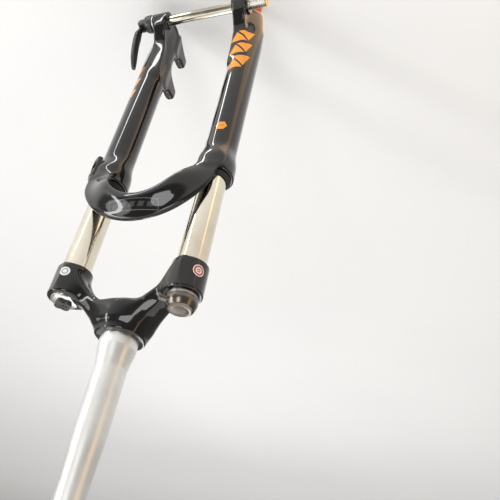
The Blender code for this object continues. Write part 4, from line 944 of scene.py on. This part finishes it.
# %% Lever blade
def blade():
    """Rounded cross-sections (w cos^0.7, t sin^0.7) carried up the closed lever, which leans back at its
    tip: its middle line is y = 18 share^2, x = a soft bow."""
    share = np.concatenate([[0.0], np.linspace(0, 1, 60), [1.0]])[:, None]
    around = (np.arange(64) * TAU / 64)[None, :]
    width = 3.7 + (7.4 - 3.7) * smooth((share - 0.12) / 0.2)
    width = width * (1 - 0.35 * smooth((share - 0.8) / 0.2))
    rounding = 1 - ((share - 0.9) / 0.115) ** 4 * (share > 0.9)
    width = width * np.sqrt(np.clip(rounding, 0.02, 1))
    thick = 2.5 + np.sin(math.pi * share)
    fade = np.ones_like(share)
    fade[0] = fade[-1] = 0
    cross = np.sign(np.cos(around)) * np.abs(np.cos(around)) ** 0.7 * width * fade
    out = np.sign(np.sin(around)) * np.abs(np.sin(around)) ** 0.7 * thick * fade
    dish = 0.9 * smooth((share - 0.3) / 0.1) * (1 - smooth((share - 0.8) / 0.1))
    dish = dish * np.exp(-((cross / 4.0) ** 2)) * (out > 0)
    x = 97.5 + 1.4 * smooth(share / 0.3) + np.sin(math.pi * share) - 0.6 + out - dish
    y = 18 * share**2 + cross
    z = 79 * share + 0 * cross
    points = np.stack([x, y, z], -1).reshape(-1, 3) * MM + np.array(AXLE_AT)
    return points, grid_faces(62, 64)


barrel = placed(turned(rod(6.0 * MM, -3.75 * MM, 3.75 * MM, 0.8 * MM), 96), PIN_AT, ALONG_Y)
piece("lever_blade", merged(blade(), barrel), plastic, "black", "release_lever", "quick_release_lever")

# %% [markdown]
# ## The hose guide
# A small clip on the front of the left leg holds the brake hose. It is a block bent round the leg's
# collar with a three-cornered recess, and a screw holds it.

# %% Hose guide
GUIDE_TURN = Matrix.Rotation(math.radians(-56), 4, "Z")
GUIDE_TOP, GUIDE_HEIGHT, GUIDE_INNER = -201.0 * MM, 33.0 * MM, 23.7 * MM


def guide_distance(x, y, z):
    """A rounded block whose outside follows a circle round the leg's axis, less a three-cornered recess."""
    bow = np.hypot(x, y)
    ends = np.abs(z - (GUIDE_TOP - GUIDE_HEIGHT / 2)) - GUIDE_HEIGHT / 2
    slope_top = (x - GUIDE_INNER - 5 * MM) * 0.6 + (z - GUIDE_TOP + 1.5 * MM) * 0.8
    block = common(np.abs(y) - 7.4 * MM, bow - GUIDE_INNER - 4.9 * MM, 2.5 * MM)
    block = common(block, common(ends, slope_top, 2 * MM), 2.5 * MM)
    block = common(block, GUIDE_INNER - 1.5 * MM - x, 0.3 * MM)
    low, high = GUIDE_TOP - GUIDE_HEIGHT + 13.5 * MM, GUIDE_TOP - 4 * MM
    recess = to_outline(y, z, [(-5.2 * MM, high), (-5.2 * MM, low), (5.0 * MM, low)])
    recess = common(recess - 0.6 * MM, GUIDE_INNER + 2.4 * MM - bow, 0.8 * MM)
    return common(block, -recess, 0.7 * MM)


guide = cast_surface(guide_distance, (21 * MM, -9 * MM, -236 * MM), (31 * MM, 9 * MM, -199 * MM), 0.4 * MM)
piece("hose_clip", placed(guide, SPRING_SIDE, GUIDE_TURN), plain_paint, "paint", "lowers", "hose_guide")
screw_outline = softened([
    (0, -4 * MM), (1.6 * MM, -4 * MM), (1.6 * MM, 0.2 * MM), (3.2 * MM, 0.3 * MM), (3.1 * MM, 1.2 * MM),
    (2.5 * MM, 2.1 * MM), (1.5 * MM, 2.2 * MM), (1.3 * MM, 1.0 * MM), (0, 1.0 * MM),
], 0.3 * MM, closed=False)
SCREW_AT = (GUIDE_INNER + 5.0 * MM, 0, GUIDE_TOP - GUIDE_HEIGHT + 8 * MM)
screw = placed(turned(screw_outline, 64), SCREW_AT, ALONG_X)
piece("clip_screw", placed(screw, SPRING_SIDE, GUIDE_TURN), silver, "silver", "lowers", "hose_guide_screw")

# %% [markdown]
# ## Parts inside
# The coil, the bushes, the damper and the rods are hidden until the fork is taken apart. Their packed
# shapes are right as they are, so each only gets its finish.

# %% Finishes of the parts inside
INSIDE = {
    steel: [
        "coil_spring", "spring_rod", "damper_rod", "damper_cartridge", "rebound_needle", "lockout_spool",
        "preload_plunger",
    ],
    bronze: ["compression_valve", "damper_piston"],
    plastic: ["spring_end_plug", "damper_seal_head", "spring_seat"],
    rubber: ["top_out_bumper", "bottom_out_bumper"],
    bush_metal: [
        "slide_bush_upper_left", "slide_bush_upper_right", "slide_bush_lower_left", "slide_bush_lower_right",
    ],
}
for finish, names in INSIDE.items():
    for name in names:
        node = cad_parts[name]
        node.data.materials.clear()
        node.data.materials.append(finish)
print("parts inside:", sum(len(names) for names in INSIDE.values()))

# %% [markdown]
# ## The stage
# A pale floor stands just under the fork's lowest piece. Black lacquer shows only what it reflects, so
# the lights are long shapes that draw streaks. The view is from above, so an upright leg mirrors the
# floor: two narrow strips lie just over it, face up and stay hidden from the camera, and they draw the
# streaks down the legs. Soft upright panels fill the sides, and a wide ceiling lights the floor.

# %% Floor
low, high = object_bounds()
FLOOR_Z = low.z - 0.5 * MM
floor_points = np.array([(-6, -6, FLOOR_Z), (6, -6, FLOOR_Z), (6, 6, FLOOR_Z), (-6, 6, FLOOR_Z)])
floor_mesh = bpy.data.meshes.new("floor")
floor_mesh.from_pydata(floor_points.tolist(), [], [(0, 1, 2, 3)])
floor_finish = Finish("pale_floor")
floor_where, _ = floor_finish.place()
floor_cloud = floor_finish.noise(floor_where, 2.0, 3.0)
floor_colour = floor_finish.mix(floor_cloud, (0.72, 0.72, 0.72), (0.78, 0.78, 0.775))
floor_mesh.materials.append(floor_finish.finish(base_color=floor_colour, roughness=0.75))
floor = bpy.data.objects.new("floor", floor_mesh)
bpy.context.scene.collection.objects.link(floor)


# %% Lights
def panel(name, at, towards, width, height, power, colour=(1, 1, 1)):
    """A soft panel that faces a point, with its long side upright."""
    data = bpy.data.lights.new(name, "AREA")
    data.shape, data.size, data.size_y = "RECTANGLE", width, height
    data.energy, data.color = power, colour
    made = bpy.data.objects.new(name, data)
    facing = np.array(at, float) - np.array(towards, float)
    z_axis = facing / np.linalg.norm(facing)
    x_axis = np.cross((0, 0, 1), z_axis)
    x_axis = x_axis / np.linalg.norm(x_axis)
    y_axis = np.cross(z_axis, x_axis)
    axes = np.stack([x_axis, y_axis, z_axis], 1)
    made.matrix_world = Matrix.Translation(at) @ Matrix(axes.tolist()).to_4x4()
    bpy.context.scene.collection.objects.link(made)


def low_strip(name, at, turn_deg, width, length, power, colour=(1, 1, 1)):
    """A narrow strip of light that lies over the floor, faces up and isn't seen by the camera."""
    data = bpy.data.lights.new(name, "AREA")
    data.shape, data.size, data.size_y = "RECTANGLE", length, width
    data.energy, data.color = power, colour
    made = bpy.data.objects.new(name, data)
    turn = Matrix.Rotation(math.radians(turn_deg), 4, "Z") @ Matrix.Rotation(math.pi, 4, "X")
    made.matrix_world = Matrix.Translation((*at, FLOOR_Z + 4 * MM)) @ turn
    made.visible_camera = False
    bpy.context.scene.collection.objects.link(made)


MIDDLE = (0, 0, -0.2)
low_strip("left_strip", (0.29, -0.44), -54, 0.022, 0.8, 0.8)
low_strip("warm_strip", (-0.46, -0.16), 198, 0.12, 0.9, 0.32, (1.0, 0.52, 0.12))
panel("left_panel", (1.1, -1.0, 0.25), MIDDLE, 0.14, 1.5, 6)
panel("left_fill", (1.7, -1.2, 0.7), MIDDLE, 1.5, 1.6, 17)
panel("front_panel", (-0.15, -1.7, 0.6), MIDDLE, 0.60, 1.0, 9)
panel("right_panel", (-1.5, -0.2, 0.4), MIDDLE, 0.30, 1.6, 3, (1.0, 0.66, 0.30))
panel("back_panel", (0.5, 1.6, 0.7), MIDDLE, 0.35, 1.2, 5)
panel("ceiling", (0.3, 1.3, 2.6), (0.3, 1.29, 0), 6.0, 6.0, 140)
world = bpy.data.worlds.new("studio")
world.use_nodes = True
background = world.node_tree.nodes["Background"]
background.inputs["Color"].default_value = (1.0, 0.96, 0.90, 1.0)
background.inputs["Strength"].default_value = 0.25
bpy.context.scene.world = world
bpy.context.scene.view_settings.view_transform = "Standard"

# %% Camera
camera_data = bpy.data.cameras.new("camera")
camera_data.sensor_width = 36.0
camera_data.lens = 42.5
camera = bpy.data.objects.new("camera", camera_data)
right, up, back = (-0.9436, 0.2934, -0.1535), (-0.0568, -0.6001, -0.7979), (-0.3262, -0.7442, 0.5829)
CAMERA_AT = (-0.3289, -0.4669, 0.2597)
camera_axes = np.stack([right, up, back], 1)
camera.matrix_world = Matrix.Translation(CAMERA_AT) @ Matrix(camera_axes.tolist()).to_4x4()
bpy.context.scene.collection.objects.link(camera)
bpy.context.scene.camera = camera
